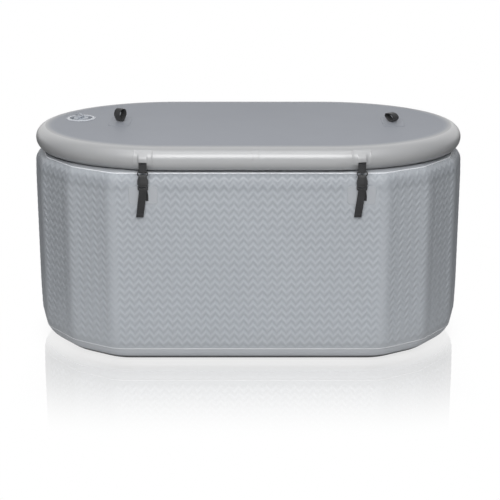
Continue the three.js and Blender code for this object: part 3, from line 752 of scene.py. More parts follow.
def sheet_tree():
    """A sheet with a given section led round a plan, with zigzag ridges pressed into its outer face."""
    shape = Shape("sheet_round_plan")
    plan = shape.input("Plan", "Geometry")
    section = shape.input("Section", "Object")
    rounder = shape.input("Rounder Plan", "Object")
    columns = shape.input("Columns", "Int")
    rows = shape.input("Rows", "Int")
    back_rows = shape.input("Back Rows", "Int")
    thickness = shape.input("Thickness", "Float")
    side = shape.input("Side", "Float")
    periods = shape.input("Zigzag Periods", "Int")
    rise = shape.input("Zigzag Rise", "Float")
    ridges = shape.input("Ridges", "Float")
    depth = shape.input("Ridge Depth", "Float")
    proud = shape.input("Ridge Proud", "Float")
    crease_rise = shape.input("Crease Rise", "Float")
    low_border = shape.input("Low Border", "Float")
    high_border = shape.input("High Border", "Float")
    material = shape.input("Material", "Material")

    plan_curve = shape.node("GeometryNodeMeshToCurve", sockets={"Mesh": plan})
    section_mesh = shape.node("GeometryNodeObjectInfo", sockets={"Object": section}, out="Geometry")
    section_curve = shape.node("GeometryNodeMeshToCurve", sockets={"Mesh": section_mesh})
    rounder_mesh = shape.node("GeometryNodeObjectInfo", sockets={"Object": rounder}, out="Geometry")
    rounder_curve = shape.node("GeometryNodeMeshToCurve", sockets={"Mesh": rounder_mesh})
    perimeter = shape.node("GeometryNodeCurveLength", sockets={"Curve": plan_curve})
    length = shape.node("GeometryNodeCurveLength", sockets={"Curve": section_curve})

    total = rows + back_rows
    grid = shape.node("GeometryNodeMeshGrid", sockets={
        "Size X": 1.0, "Size Y": 1.0, "Vertices X": columns + 1, "Vertices Y": total + 1})
    across, upwards, _ = shape.parts(shape.node("GeometryNodeInputPosition"))
    u = across + 0.5
    row = shape.math("ROUND", (upwards + 0.5) * total)
    behind = row > rows - 0.5
    closing = row > total - 0.5
    front_share = row / (rows - 1)
    back_share = 1 - (row - rows) / (back_rows - 1)
    v = (front_share * (1 - behind) + back_share * behind) * (1 - closing)
    front = 1 - behind

    crease = shape.along(plan_curve, u, "crease")
    raised = shape.along(plan_curve, u, "raised")
    on_rounder = shape.node("GeometryNodeSampleCurve", {"mode": "FACTOR"},
                            {"Curves": rounder_curve, "Factor": u}, out="Position")

    # The zigzag and the ridges die out towards both borders, and the ridges are shallower in the creases
    lean_room, low_fade, high_fade, swell_room = 0.018, 0.006, 0.003, 0.12
    low_room = v * length
    high_room = length - low_room
    leaning = (shape.clamped(low_room / (low_border + lean_room))
               * shape.clamped(high_room / (high_border + lean_room)) * front)
    pressed = (shape.clamped((low_room - low_border) / low_fade)
               * shape.clamped((high_room - high_border) / high_fade) * front * (1 - crease * 0.6))
    swing = shape.math("PINGPONG", u * periods, 0.5) * 4 - 1
    lifted = shape.clamped(v + swing * rise * 0.5 * leaning / length)
    rounded = shape.along(section_curve, lifted, "round")
    inset, _, height = shape.parts(rounded.out("Position"))
    run_in, _, run_up = shape.parts(rounded.out("Tangent"))

    # The sheet is flat behind the patches of the straps
    plan_place = shape.between(rounded, crease.out("Position"), on_rounder)
    plan_run = shape.between(rounded, crease.out("Tangent"), on_rounder.out("Tangent"))
    px, py, _ = shape.parts(plan_place)
    in_front = py < 0
    from_front = shape.math("MINIMUM", abs(px - FRONT_LEFT_STRAP * MM), abs(px - FRONT_RIGHT_STRAP * MM))
    from_rear = abs(abs(px) - REAR_STRAP * MM)
    half_wide, half_high = (MM * (half + 4) for half in WALL_PATCH_HALF)
    patch_side = from_front * in_front + from_rear * (1 - in_front) - half_wide
    patch_up = abs(height - WALL_PATCH_HEIGHT * MM) - half_high
    on_side = abs(py) > MM * (WIDTH / 2 - 10)
    at_strap = on_side * shape.clamped(1 - shape.math("MAXIMUM", patch_side, patch_up) / 0.008)
    pressed = pressed * (1 - at_strap)

    ridge = shape.math("COSINE", v * ridges * (2 * math.pi)) * 0.5 - 0.5
    swell = (raised * crease_rise * (1 - at_strap) * shape.clamped(low_room / swell_room)
             * shape.clamped(high_room / swell_room))
    out = pressed * (ridge * depth + proud) + swell - behind * (1 - closing) * thickness
    deep = inset - out * run_up * side
    level = height + out * run_in * side
    outwards = shape.vector_math("NORMALIZE", shape.vector_math("CROSS_PRODUCT", plan_run, (0, 0, 1)))
    reach = shape.node("ShaderNodeVectorMath", {"operation": "SCALE"}, {0: outwards, "Scale": 0 - deep})
    flat = shape.vector_math("ADD", plan_place, reach)
    place = shape.vector_math("ADD", flat, shape.joined(0.0, 0.0, level))

    mapped = shape.node("GeometryNodeStoreNamedAttribute", {"data_type": "FLOAT2", "domain": "CORNER"},
                        {"Geometry": grid, "Name": "sheet",
                         "Value": shape.joined(u * perimeter, low_room, 0.0)})
    marked = shape.node("GeometryNodeStoreNamedAttribute", {"data_type": "FLOAT", "domain": "POINT"},
                        {"Geometry": mapped, "Name": "groove", "Value": 0 - pressed * ridge})
    shaped = shape.node("GeometryNodeSetPosition", sockets={"Geometry": marked, "Position": place})
    merged = shape.node("GeometryNodeMergeByDistance", sockets={"Geometry": shaped, "Distance": 1e-5})
    shape.ends_with(merged, material)
    return shape


SHEET_TREE = sheet_tree()


def line_object(name, points, edges, **marks):
    """Points in metres joined by edges, for a tree to work on, with named values for the points."""
    mesh = bpy.data.meshes.new(name)
    mesh.from_pydata(points, edges, [])
    for mark, values in marks.items():
        mesh.attributes.new(mark, "FLOAT", "POINT").data.foreach_set("value", values)
    return linked(name, mesh)


def row_edges(count, start=0):
    return [(start + i, start + i + 1) for i in range(count - 1)]


def ring_edges(count, start=0):
    return row_edges(count, start) + [(start + count - 1, start)]


def grown(carrier, shape, values, sharp=40):
    """Runs a tree on the carrier and keeps the result as plain mesh."""
    modifier = carrier.modifiers.new("shape", "NODES")
    modifier.node_group = shape.tree
    for name, value in values.items():
        modifier[shape.names[name]] = value
    return settled(carrier, sharp)


def plan_line(name, outline, **marks):
    return line_object(name, [(MM * p.x, MM * p.y, 0) for p in outline], ring_edges(len(outline)), **marks)


def led_round(name, plan, rounder, section, material, rows, columns, back_rows=12, thickness=SHEET, **ridges):
    """A sheet with a section of insets and heights, led round a plan that turns into the rounder plan.

    A section that runs up the outer side has its outer face on side 1, and one that runs the other way on
    side -1.
    """
    outline, crease = plan
    carrier = plan_line(name, outline, crease=crease, raised=[raised(p) for p in outline])
    aside = plan_line(name + "_rounder", rounder[0])
    profile = line_object(name + "_section", [(MM * a, 0, MM * z) for a, z in section],
                          row_edges(len(section)), round=[roundness(a, z) for a, z in section])
    values = {
        "Section": profile, "Rounder Plan": aside, "Columns": columns, "Rows": rows, "Back Rows": back_rows,
        "Thickness": thickness * MM, "Side": 1.0, "Zigzag Periods": 1, "Zigzag Rise": 0.0, "Ridges": 1.0,
        "Ridge Depth": 0.0, "Ridge Proud": 0.0, "Crease Rise": 0.0, "Low Border": 0.01, "High Border": 0.01,
        "Material": material,
    }
    values.update({key.replace("_", " ").title(): value for key, value in ridges.items()})
    piece = grown(carrier, SHEET_TREE, values)
    bpy.data.objects.remove(profile)
    bpy.data.objects.remove(aside)
    return piece


def goes_with(piece, slot, body):
    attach(piece, body)


def stands_for(piece, slot, node):
    goes_with(piece, slot, frame["nodes"][node]["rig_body"])
    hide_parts(node)


# Tub

def upright(x, height):
    """Places a piece made with its axis along Z on the rear wall, facing backwards."""
    return Matrix.Translation(MM * Vector((x, WIDTH / 2, height))) @ Matrix.Rotation(-math.pi / 2, 4, "X")


WALL_VALVE = upright(180, 585)
LID_VALVE_X, LID_VALVE_Y = -600, 72
LID_VALVE = Matrix.Translation(MM * Vector((LID_VALVE_X, LID_VALVE_Y, LID_TOP)))
DRAIN = upright(0, 124)
VALVE_HOLE, DRAIN_HOLE = 42.4, 20.3


def hole(radius, low, high, matrix):
    cutter = turned("hole", [(0, low), (radius, low), (radius, high), (0, high)], AIR_THREADS, 48, soft=0.01)
    return moved(cutter, matrix)


def bead(x, y, radius, start, way):
    """A weld bead, 4 mm wide, on the edge of a band that follows an arc, with a lip into the grooves."""
    places = [(0, -2)] + [(4 * step / 8, 1.5 * math.sin(math.pi * step / 8)) for step in range(9)]
    angles = [start + way * math.degrees(along / radius) for along, _ in places]
    return [arc(x, y, radius + 0.3 + rise, angle, 0, 1)[0] for angle, (_, rise) in zip(angles, places)]


def build_wall():
    columns = 4 * ZIGZAGS
    outline, crease = wall_plan()
    plan = evenly(outline, columns, crease)
    rounder = evenly(wall_plan(growth=BASE_CREASE_GROWTH)[0], columns)
    top = TUB_HEIGHT - EDGE
    base_seam = 180 + BASE_SEAM_ANGLE

    face = (arc(BASE_RADIUS, BASE_RADIUS, BASE_RADIUS, base_seam, 180, 8)
            + [(0, z) for z in (200, 320, 440, 560)]
            + arc(EDGE, top, EDGE, 180, 180 - COVERED_SEAM_ANGLE, 24))
    rows = 6 * math.ceil(RIDGES) + 1
    outer = led_round("wall_outer_sheet", plan, rounder, face, WALL_SHEET, rows, columns, back_rows=16,
                      zigzag_periods=ZIGZAGS, zigzag_rise=0.020, ridges=RIDGES, ridge_depth=0.0019,
                      ridge_proud=0.0009, crease_rise=0.0036, low_border=0.006, high_border=0.004)
    carved(outer, [hole(VALVE_HOLE, -20, 20, WALL_VALVE), hole(DRAIN_HOLE, -20, 20, DRAIN)])
    stands_for(outer, "wall_sheet", "wall_outer_skin")

    inside = (arc(EDGE, top, EDGE, TOP_SEAM_ANGLE, 0, 8)
              + [(WALL, z) for z in (560, 440, 320, 200, 90, BOTTOM_SEAM)])
    inner = led_round("wall_inner_sheet", plan, rounder, inside, INNER_SHEET, 60, columns)
    carved(inner, [hole(DRAIN_HOLE, -130, 20, DRAIN)])
    stands_for(inner, "wall_sheet", "wall_inner_skin")

    rim = (bead(EDGE, top, EDGE + 0.7, 180 - VISIBLE_SEAM_ANGLE, -1)
           + arc(EDGE, top, EDGE + 0.7, 180 - VISIBLE_SEAM_ANGLE - 6, TOP_SEAM_ANGLE - 1.5, 40))
    band = led_round("wall_rim_band", plan, rounder, rim, BAND_SHEET, 100, columns)
    stands_for(band, "band_sheet", "wall_top_band")

    base = (bead(BASE_RADIUS, BASE_RADIUS, BASE_RADIUS, base_seam - 1, 1)
            + arc(BASE_RADIUS, BASE_RADIUS, BASE_RADIUS, base_seam + 4, 270, 18)
            + arc(WALL - INNER_FOOT_RADIUS, INNER_FOOT_RADIUS, INNER_FOOT_RADIUS, 270, 360, 6)
            + [(WALL + 0.5, INNER_FOOT_RADIUS + 8), (WALL + 0.5, 40), (WALL + 0.5, BOTTOM_SEAM + 2)])
    bottom = led_round("wall_base_band", plan, rounder, base, BAND_SHEET, 140, columns, back_rows=16,
                       side=-1.0)
    stands_for(bottom, "band_sheet", "wall_bottom_band")


# Flat sheets

def flat_sheet_tree():
    """A flat sheet filled inside one or more outlines."""
    shape = Shape("flat_sheet")
    outlines = shape.input("Outlines", "Geometry")
    thickness = shape.input("Thickness", "Float")
    material = shape.input("Material", "Material")
    curve = shape.node("GeometryNodeMeshToCurve", sockets={"Mesh": outlines})
    _, _, level = shape.parts(shape.node("GeometryNodeInputPosition"))
    height = shape.node("GeometryNodeAttributeStatistic", sockets={"Geometry": outlines, "Attribute": level},
                        out="Mean")
    filled = shape.node("GeometryNodeFillCurve", {"mode": "NGONS"}, {"Curve": curve})
    raised = shape.node("GeometryNodeTransform", sockets={
        "Geometry": filled, "Translation": shape.joined(0.0, 0.0, height)})
    solid = shape.node("GeometryNodeExtrudeMesh", {"mode": "FACES"}, {
        "Mesh": raised, "Offset": (0.0, 0.0, 1.0), "Offset Scale": thickness, "Individual": False})
    flipped = shape.node("GeometryNodeFlipFaces", sockets={"Mesh": raised})
    both = shape.node("GeometryNodeJoinGeometry")
    shape.tree.links.new(flipped.socket, both.socket.node.inputs[0])
    shape.tree.links.new(solid.socket, both.socket.node.inputs[0])
    merged = shape.node("GeometryNodeMergeByDistance", sockets={"Geometry": both, "Distance": 1e-5})
    shape.ends_with(merged, material)
    return shape


FLAT_TREE = flat_sheet_tree()


def flat_sheet(name, outlines, low, thickness, material):
    points, edges = [], []
    for outline in outlines:
        edges += ring_edges(len(outline), len(points))
        points += [(MM * p[0], MM * p[1], MM * low) for p in outline]
    carrier = line_object(name, points, edges)
    return grown(carrier, FLAT_TREE, {"Thickness": thickness * MM, "Material": material})


def build_floor_sheet():
    outline = wall_plan(96.5, 3, BASE_CREASE_GROWTH)[0]
    floor = flat_sheet("floor_sheet_laid", [outline], 0.2, 2.8, INNER_SHEET)
    stands_for(floor, "band_sheet", "floor_sheet")


def build_lid():
    columns = 440
    plan = evenly(lid_plan(), columns)
    rail = arc(RAIL, RAIL_CENTRE, RAIL, 92, 270, 44) + [(48, TUB_HEIGHT)]
    band = led_round("lid_side_rail", plan, plan, rail, RAIL_SHEET, 72, columns, side=-1.0)
    stands_for(band, "rail_sheet", "lid_side_band")
    shoulder = ([(62, LID_TOP + 0.1), (58, LID_TOP + 0.3), (44, LID_TOP + 0.4)]
                + [arc(RAIL, RAIL_CENTRE, RAIL + 0.4 - 0.07 * i, 90 + 1.6 * i, 0, 1)[0] for i in range(11)])
    edge = led_round("lid_top_edge", plan, plan, shoulder, LID_EDGE_SHEET, 20, columns, thickness=0.3,
                     side=-1.0)
    goes_with(edge, "lid_sheet", "lid")
    valve_ring = arc(LID_VALVE_X, LID_VALVE_Y, VALVE_HOLE, 0, 352.5, 47)
    top = flat_sheet("lid_top_sheet", [lid_plan(RAIL + 1), valve_ring], LID_TOP - SHEET, SHEET, LID_SHEET)
    stands_for(top, "lid_sheet", "lid_top_skin")
    bottom = flat_sheet("lid_bottom_sheet", [lid_plan(RAIL + 1)], TUB_HEIGHT, SHEET, LID_SHEET)
    stands_for(bottom, "lid_sheet", "lid_bottom_skin")


# Patches welded on a surface

def patch(name, half_a, half_b, radius, place, height, material):
    """A rounded rectangle in coordinates a and b, carried to a surface by place(a, b, out)."""
    steps = [0, 0.25, 0.8, 1.6, 2.4, 3.2, 4.4]
    limit = min(half_a, half_b) - 1.0
    while steps[-1] + 2.2 < limit:
        steps.append(steps[-1] + 2.2)
    rings = []
    for depth in steps:
        a, b, r = half_a - depth, half_b - depth, max(radius - depth, 0.6)
        corners = [(a - r, r - b, -90), (a - r, b - r, 0), (r - a, b - r, 90), (r - a, r - b, 180)]
        ring = []
        for i, (ca, cb, start) in enumerate(corners):
            turn = arc(ca, cb, r, start, start + 90, 5)
            ring += turn
            following = corners[(i + 1) % 4]
            first = arc(following[0], following[1], r, following[2], following[2] + 90, 5)[0]
            fill = 18 if i % 2 else 16
            ring += [(turn[-1][0] + (first[0] - turn[-1][0]) * k / fill,
                      turn[-1][1] + (first[1] - turn[-1][1]) * k / fill) for k in range(1, fill)]
        rings.append((depth, ring))
    loops = [[place(a, b, PATCH_SEAT) for a, b in ring] for depth, ring in reversed(rings)]
    loops += [[place(a, b, height(a, b, depth)) for a, b in ring] for depth, ring in rings]
    return loft(name, loops, material, sharp=55)


def weld_outline(depth, thickness):
    """Thickness of a welded patch at a distance from its edge: rounded edge, raised bead, flat middle."""
    rise = min(1.0, depth / 0.8)
    bead = math.exp(-((depth - 2.0) / 1.1) ** 2)
    return PATCH_SEAT + thickness * (0.35 + 0.65 * math.sqrt(rise)) + 0.55 * bead * rise


def lid_edge(x):
    """The middle of the rail on the lid's front edge, and the direction out from the lid there."""
    beyond = math.copysign(max(abs(x) - LID_STRAIGHT, 0), x)
    y = -LID_HALF * math.sqrt(1 - (beyond / LID_END) ** 2)
    normal = Vector((beyond / LID_END ** 2, y / LID_HALF ** 2, 0)).normalized()
    return Vector((x, y, RAIL_CENTRE)), normal


def on_rail(x, radius, degrees):
    """A point at a radius and an angle above the level round the rail's middle."""
    point, normal = lid_edge(x)
    angle = math.radians(degrees)
    return point + normal * (radius * math.cos(angle) - RAIL) + Vector((0, 0, radius * math.sin(angle)))


def step_up(value, low, high):
    share = min(1.0, max(0.0, (value - low) / (high - low)))
    return share * share * (3 - 2 * share)


def lid_patch(name, x):
    """Welded on the rail. The webbing comes out of a slit under its raised middle."""
    middle, half_turn, slit = 16, 40, -8.5
    half_b = math.radians(half_turn) * RAIL

    def place(a, b, out):
        return on_rail(x + a, RAIL + out, middle + math.degrees(b / RAIL))

    def height(a, b, depth):
        angle = middle + math.degrees(b / RAIL)
        over = step_up(angle, slit - 0.5, slit + 0.8) * (1 - step_up(angle, slit + 16, slit + 42))
        over *= 1 - step_up(abs(a), 12.6, 17.5)
        return weld_outline(depth, 0.8) + 4.3 * over

    return patch(name, 32.5, half_b, 6, place, height, RAIL_SHEET)


def even_weld(a, b, depth):
    """The height of a patch with nothing raised in its middle."""
    return weld_outline(depth, 0.7)


def wall_patch(name, x):
    def place(a, b, out):
        return Vector((x + a, -WIDTH / 2 - out, WALL_PATCH_HEIGHT + b))

    return patch(name, *WALL_PATCH_HALF, 10, place, even_weld, PATCH_SHEET)


def handle_patch(name, x, y):
    def place(a, b, out):
        return Vector((x + a, y + b, LID_TOP + out))

    return patch(name, 38, 70, 12, place, even_weld, LID_SHEET)


def rail_overlap():
    """Where the two ends of the rail's sheet lap over each other."""
    x, half, steps = 25, 11, 60
    across = (-half, -10.7, -10, -8.5, -6, -3, 0, 3, 6, 8.5, 10, 10.7, half)
    loops = []
    for step in range(steps + 1):
        angle = -74 + 148 * step / steps
        rise = 0.9 * min(1.0, step / 2, (steps - step) / 2)
        over = [on_rail(x + a, RAIL + 0.1 + rise * (1 - abs(a / half) ** 3), angle) for a in across]
        under = [on_rail(x + a, RAIL - 0.4, angle) for a in reversed(across)]
        loops.append(over + under)
    goes_with(loft("lid_rail_overlap", loops, RAIL_SHEET, sharp=60), "rail_sheet", "lid")


# Straps and buckles. A place is given across the strap, out from the wall's face, and in height.

def strap_place(x, across, out, z):
    return Vector((x + across, -WIDTH / 2 - out, z))


def panel(name, x, outer, thick, slot=None):
    """A plate across the strap about the buckle's middle plane, with a slot where one is given."""
    def loop(outline, side):
        return [strap_place(x, a, BUCKLE_OUT + side * thick / 2, z) for a, z in outline]

    loops = [loop(outer, -1), loop(outer, 1)]
    if slot is not None:
        loops = [loop(slot, -1), *loops, loop(slot, 1)]
    return loft(name, loops, BLACK_PLASTIC, closed=slot is not None)


# Height, half width and half thickness up the socket
SOCKET_STATIONS = ((641, 16.5, 5), (645, 18, 5), (655, 18, 5), (664, 15.5, 4.6), (671, 13.6, 4.2),
                   (674, 13.2, 3.4))
# The bars that the webbing goes round: slot's edge, outer edge and thickness
RING_BAR, PLUG_BAR = (684.4, 689, 4.6), (627.5, 623, 5)
# Where the tail ends, how far it leans aside and back by then, and how far aside its other end is sewn
TAIL_END, TAIL_SHIFT, TAIL_BACK, ANCHOR_SHIFT = 532, -12, 3, 4.6


def socket_size(z):
    for start, end in zip(SOCKET_STATIONS, SOCKET_STATIONS[1:]):
        if z <= end[0]:
            share = step_up(z, start[0], end[0])
            return tuple(a + (b - a) * share for a, b in zip(start[1:], end[1:]))
    return SOCKET_STATIONS[-1][1:]


def socket_loop(x, z, half, low, high, radius):
    outline = rounded_outline(half, low, high, radius, 5)
    return [strap_place(x, a, BUCKLE_OUT + out, z) for a, out in outline]


def buckle_socket(name, x):
    heights = (641, 642, 643.4, 645, 648, 651.5, 655, 657.5, 660, 662.5, 665, 667.5, 670, 672, 674)
    sizes = [(z, *socket_size(z)) for z in heights]
    housing = loft(name, [socket_loop(x, z, half, -thick, thick, 2.4) for z, half, thick in sizes],
                   BLACK_PLASTIC)
    crown = [socket_loop(x, z, socket_size(z)[0] - 7.5, 0, socket_size(z)[1] + 0.7, 0.6)
             for z in (646.5, 650, 654, 658, 662, 666, 669.5)]
    raised = [loft("crown", crown, BLACK_PLASTIC)]
    for z in (643.2, 645.0):
        ridge = [strap_place(x, a, BUCKLE_OUT + out, h)
                 for a, out, h in ((-11, 4.5, z), (11, 4.5, z), (11, 5.5, z), (-11, 5.5, z))]
        over = [point + Vector((0, 0, 0.9)) for point in ridge]
        raised.append(loft("grip", [ridge, over], BLACK_PLASTIC))
    slot_top, top, thick = RING_BAR
    ring = panel("ring", x, rounded_outline(18, 671, top, 6), thick, rounded_outline(13.8, 675, slot_top, 3))
    carved(housing, raised + [eased(ring, 1.3, 3)], "UNION")
    cavity = block("cavity", (30, 6.6, 28), (x, BUCKLE_MIDDLE, 654), BLACK_PLASTIC)
    windows = block("windows", (50, 5.8, 12), (x, BUCKLE_MIDDLE, 658.5), BLACK_PLASTIC)
    carved(housing, [cavity, windows])
    return eased(housing, 0.35, 2, 40)


def buckle_plug(name, x):
    slot_foot, foot, thick = PLUG_BAR
    slot = rounded_outline(13.8, slot_foot, 634, 1.5)
    base = panel(name, x, rounded_outline(17.5, foot, 640.7, 4), thick, slot)
    eased(base, 0.9, 3)
    tongue = eased(block("tongue", (5, 4.8, 27.3), (x, BUCKLE_MIDDLE, 652.35), BLACK_PLASTIC), 0.7)
    ribs = [eased(block("rib", (24, 1.0, 1.2), (x, BUCKLE_MIDDLE - 2.6, z), BLACK_PLASTIC), 0.3)
            for z in (636.2, 638.4)]
    return carved(base, [tongue] + ribs, "UNION")


ARM_OUTLINE = ((7.9, 641.1), (10.1, 641.1), (14, 645.5), (14.2, 653), (17.4, 653), (17.6, 655),
               (16.8, 661), (14.2, 664.3), (10.5, 665.5), (8.6, 664), (9, 653), (7.9, 645))


def buckle_arm(name, x, side):
    outline = softened([(side * a, z) for a, z in ARM_OUTLINE], 1.4, True)
    return eased(panel(name, x, outline, 4.8), 0.6, 2)


def bar_wrap(slot_edge, outer_edge, thick):
    """The radius of webbing round a bar."""
    return math.hypot((slot_edge - outer_edge) / 2, thick / 2) + 0.5 + WEBBING / 2


def round_bar(x, bar, start, end):
    """Ten steps of webbing round a bar."""
    z = (bar[0] + bar[1]) / 2
    places = arc(BUCKLE_OUT, z, bar_wrap(*bar), start, end, 10)
    return [strap_place(x, 0, out, height) for out, height in places]


TAIL_OUT = BUCKLE_OUT + bar_wrap(*PLUG_BAR)
TAIL_END_OUT = TAIL_OUT - TAIL_BACK


def lid_webbing(name, x):
    """From under the lid's patch, round the bar of the socket's ring and back up."""
    sewn = RAIL + UNDER_WEBBING + WEBBING / 2
    _, normal = lid_edge(x)
    across = Vector((-normal.y, normal.x, 0))
    inner = [on_rail(x, sewn, angle) for angle in (-7, -14, -20)]
    outer = [on_rail(x, sewn + WEBBING + 0.3, angle) for angle in (-16, -7)]
    path = smooth_path(inner + round_bar(x, RING_BAR, 209, 397) + outer, 1.5)
    return ribbon(name, path, across, WEBBING_WIDTH + 1.5, WEBBING, STRAP_WEBBING)


def wall_webbing(name, x):
    """Sewn to the wall patch, round the plug's bar and down in front as a tail."""
    sewn = PATCH_SEAT + UNDER_WEBBING + WEBBING / 2
    bar = (PLUG_BAR[0] + PLUG_BAR[1]) / 2
    drop = bar - TAIL_END
    path = [strap_place(x, across, sewn, z)
            for across, z in ((ANCHOR_SHIFT, 586), (ANCHOR_SHIFT, 600), (3.5, 610))]
    path += round_bar(x, PLUG_BAR, 180, 0)
    for share in (0.25, 0.5, 0.75, 1):
        out = TAIL_OUT - TAIL_BACK * min(1, share / 0.6)
        path.append(strap_place(x, TAIL_SHIFT * share, out, bar - drop * share))
    return ribbon(name, smooth_path(path, 2), (1, 0, 0), WEBBING_WIDTH, WEBBING, STRAP_WEBBING)


def tail_hem(name, x):
    """The tail's end, folded over and sewn."""
    fold = WEBBING + 0.1
    path = [strap_place(x, across, TAIL_END_OUT + fold * share, z) for across, share, z in (
        (-11.0, 1, 543), (-11.6, 1, 536), (-12.0, 0.9, 532.6), (-12.1, 0.5, 531.6))]
    return ribbon(name, smooth_path(path, 1.5), (1, 0, 0), WEBBING_WIDTH + 0.4, WEBBING * 0.9, STRAP_WEBBING)


def build_strap(side, x, turn):
    spin = Matrix.Rotation(turn, 4, "Z")
    made = [
        (lid_patch("rail_patch_" + side, x), "rail_sheet", "lid_patch_"),
        (lid_webbing("lid_strap_" + side, x), "webbing", "lid_webbing_"),
        (buckle_socket("socket_" + side, x), "black_plastic", "buckle_socket_"),
        (buckle_plug("plug_" + side, x), "black_plastic", "buckle_plug_"),
        (buckle_arm("arm_a_" + side, x, -1), "black_plastic", "buckle_arm_a_"),
        (buckle_arm("arm_b_" + side, x, 1), "black_plastic", "buckle_arm_b_"),
        (wall_patch("strap_patch_" + side, x), "band_sheet", "wall_patch_"),
        (wall_webbing("wall_strap_" + side, x), "webbing", "wall_webbing_"),
    ]
    for piece, slot, node in made:
        stands_for(moved(piece, spin), slot, node + side)
    hem = moved(tail_hem("tail_hem_" + side, x), spin)
    goes_with(hem, "webbing", frame["nodes"]["wall_webbing_" + side]["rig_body"])


# Stitching

def stitch_tree():
    """Stitches of thread laid one after another along sewn lines."""
    shape = Shape("sewn_rows")
    lines = shape.input("Lines", "Geometry")
    pitch = shape.input("Pitch", "Float")
    length = shape.input("Stitch Length", "Float")
    thread = shape.input("Thread", "Float")
    material = shape.input("Material", "Material")
    rows = shape.node("GeometryNodeMeshToCurve", sockets={"Mesh": lines})
    spaced = shape.node("GeometryNodeResampleCurve", {"mode": "LENGTH"}, {"Curve": rows, "Length": pitch})
    points = shape.node("GeometryNodeCurveToPoints", {"mode": "EVALUATED"}, {"Curve": spaced}, out="Points")
    one = shape.node("GeometryNodeMeshIcoSphere", sockets={"Radius": 1.0, "Subdivisions": 2}, out="Mesh")
    sewn = shape.node("GeometryNodeInstanceOnPoints", sockets={
        "Points": points, "Instance": one, "Rotation": points.out("Rotation"),
        "Scale": shape.joined(thread, thread, length * 0.5)})
    shape.ends_with(sewn, material)
    return shape


STITCH_TREE = stitch_tree()
SEWN_ACROSS = (-10.5, 0, 10.5)


def tail_rows(x):
    """Two lines across the tail's hem, and two across the anchored end."""
    hem = TAIL_END_OUT + 1.95 * WEBBING + 0.15
    anchor = SHEET + 0.95 + WEBBING
    for shift, out, z in ((-11.3, hem, 540.5), (-11.7, hem, 536),
                          (ANCHOR_SHIFT, anchor, 588.5), (ANCHOR_SHIFT, anchor, 593)):
        yield [strap_place(x, shift + across, out, z) for across in SEWN_ACROSS]


def lid_rows(x):
    """Two lines that sew the lid's webbing together under the slit of its patch."""
    _, normal = lid_edge(x)
    along = Vector((-normal.y, normal.x, 0))
    for angle in (-12, -15.5):
        middle = on_rail(x, RAIL + SHEET + 0.95 + 2 * WEBBING, angle)
        yield [middle + along * across for across in SEWN_ACROSS]


def build_stitching():
    sizes = {"Pitch": 3.2 * MM, "Stitch Length": 2.6 * MM, "Thread": 0.42 * MM, "Material": STITCH_THREAD}
    for name, rows_of, body in (("tail_stitching", tail_rows, "tub"),
                                ("lid_strap_stitching", lid_rows, "lid")):
        points, edges = [], []
        for x, turn in STRAPS.values():
            spin = Matrix.Rotation(turn, 3, "Z")
            for row in rows_of(x):
                edges += row_edges(len(row), len(points))
                points += [tuple(MM * (spin @ point)) for point in row]
        carrier = line_object(name, points, edges)
        grown(carrier, STITCH_TREE, sizes)
        goes_with(carrier, "webbing", body)


# Grab loops

def grab_loop(name, x, y, turn, height, bulge, lean):
    webbing = 2.2
    base = LID_TOP + UNDER_WEBBING + webbing / 2
    outline = ((-0.16, 0), (-0.55, 0.2), (-1, 0.55), (-0.7, 0.9), (0, 1), (0.7, 0.9), (1, 0.55), (0.55, 0.2),
               (0.16, 0))
    dx, dy = math.cos(math.radians(turn)), math.sin(math.radians(turn))
    knots = []
    for side, rise in outline:
        offset = bulge * side + height * lean * rise
        knots.append(Vector((x + dx * offset, y + dy * offset, base + (height - 2 * webbing) * rise)))
    return ribbon(name, smooth_path(knots, 1.6), (dy, -dx, 0), 27, webbing, STRAP_WEBBING)


def build_handles():
    for side, x, y, turn, height, bulge, lean in (
            ("left", -455, 18, 53, 48, 18, 0.05), ("right", 512, 12, 125, 32, 22, 0.3)):
        stands_for(handle_patch("loop_patch_" + side, x, y), "lid_sheet", "handle_patch_" + side)
        loop = grab_loop("grab_loop_" + side, x, y, turn, height, bulge, lean)
        stands_for(loop, "webbing", "lid_handle_" + side)


# Air valves, made with their axis along Z and the sheet's face at height 0

VALVE_FLOOR, PLUNGER_BUTTON = -18, -9.2


def polar(radius, degrees, z):
    return Vector((radius * math.cos(math.radians(degrees)), radius * math.sin(math.radians(degrees)), z))


def valve_body(name, material):
    """A dished flange with a raised collar, and a seat with a guide for the plunger and four ports."""
    seat, floor, guide = -22, VALVE_FLOOR, 3.4
    profile = [(52, 0.3), (52, 1.1), (47, 3.6), (42, 4), (40, 2.6), (39, -6), (28.5, -6), (27, 0), (24, 0),
               (24, floor), (guide, floor), (guide, seat), (27, seat), (28, -9), (41.5, -9), (42, 0.3)]
    body = turned(name, profile, material, 96, True, 0.7)
    ports = []
    for i in range(4):
        port = turned("port", [(0, -28), (1.8, -28), (1.8, -14), (0, -14)], material, 20, soft=0.01)
        ports.append(moved(port, Matrix.Translation(MM * polar(9, 90 * i, 0))))
    return carved(body, ports, sharp=30)


def valve_plunger(name):
    seal, button = -22.3, PLUNGER_BUTTON
    return turned(name, [(0, seal - 2), (12, seal - 2), (12, seal), (2.6, seal), (2.6, button), (7.6, button),
                         (7.6, -6.2), (6.6, -5.6), (0, -5.6)], SEAL_RUBBER, 48, soft=0.4)


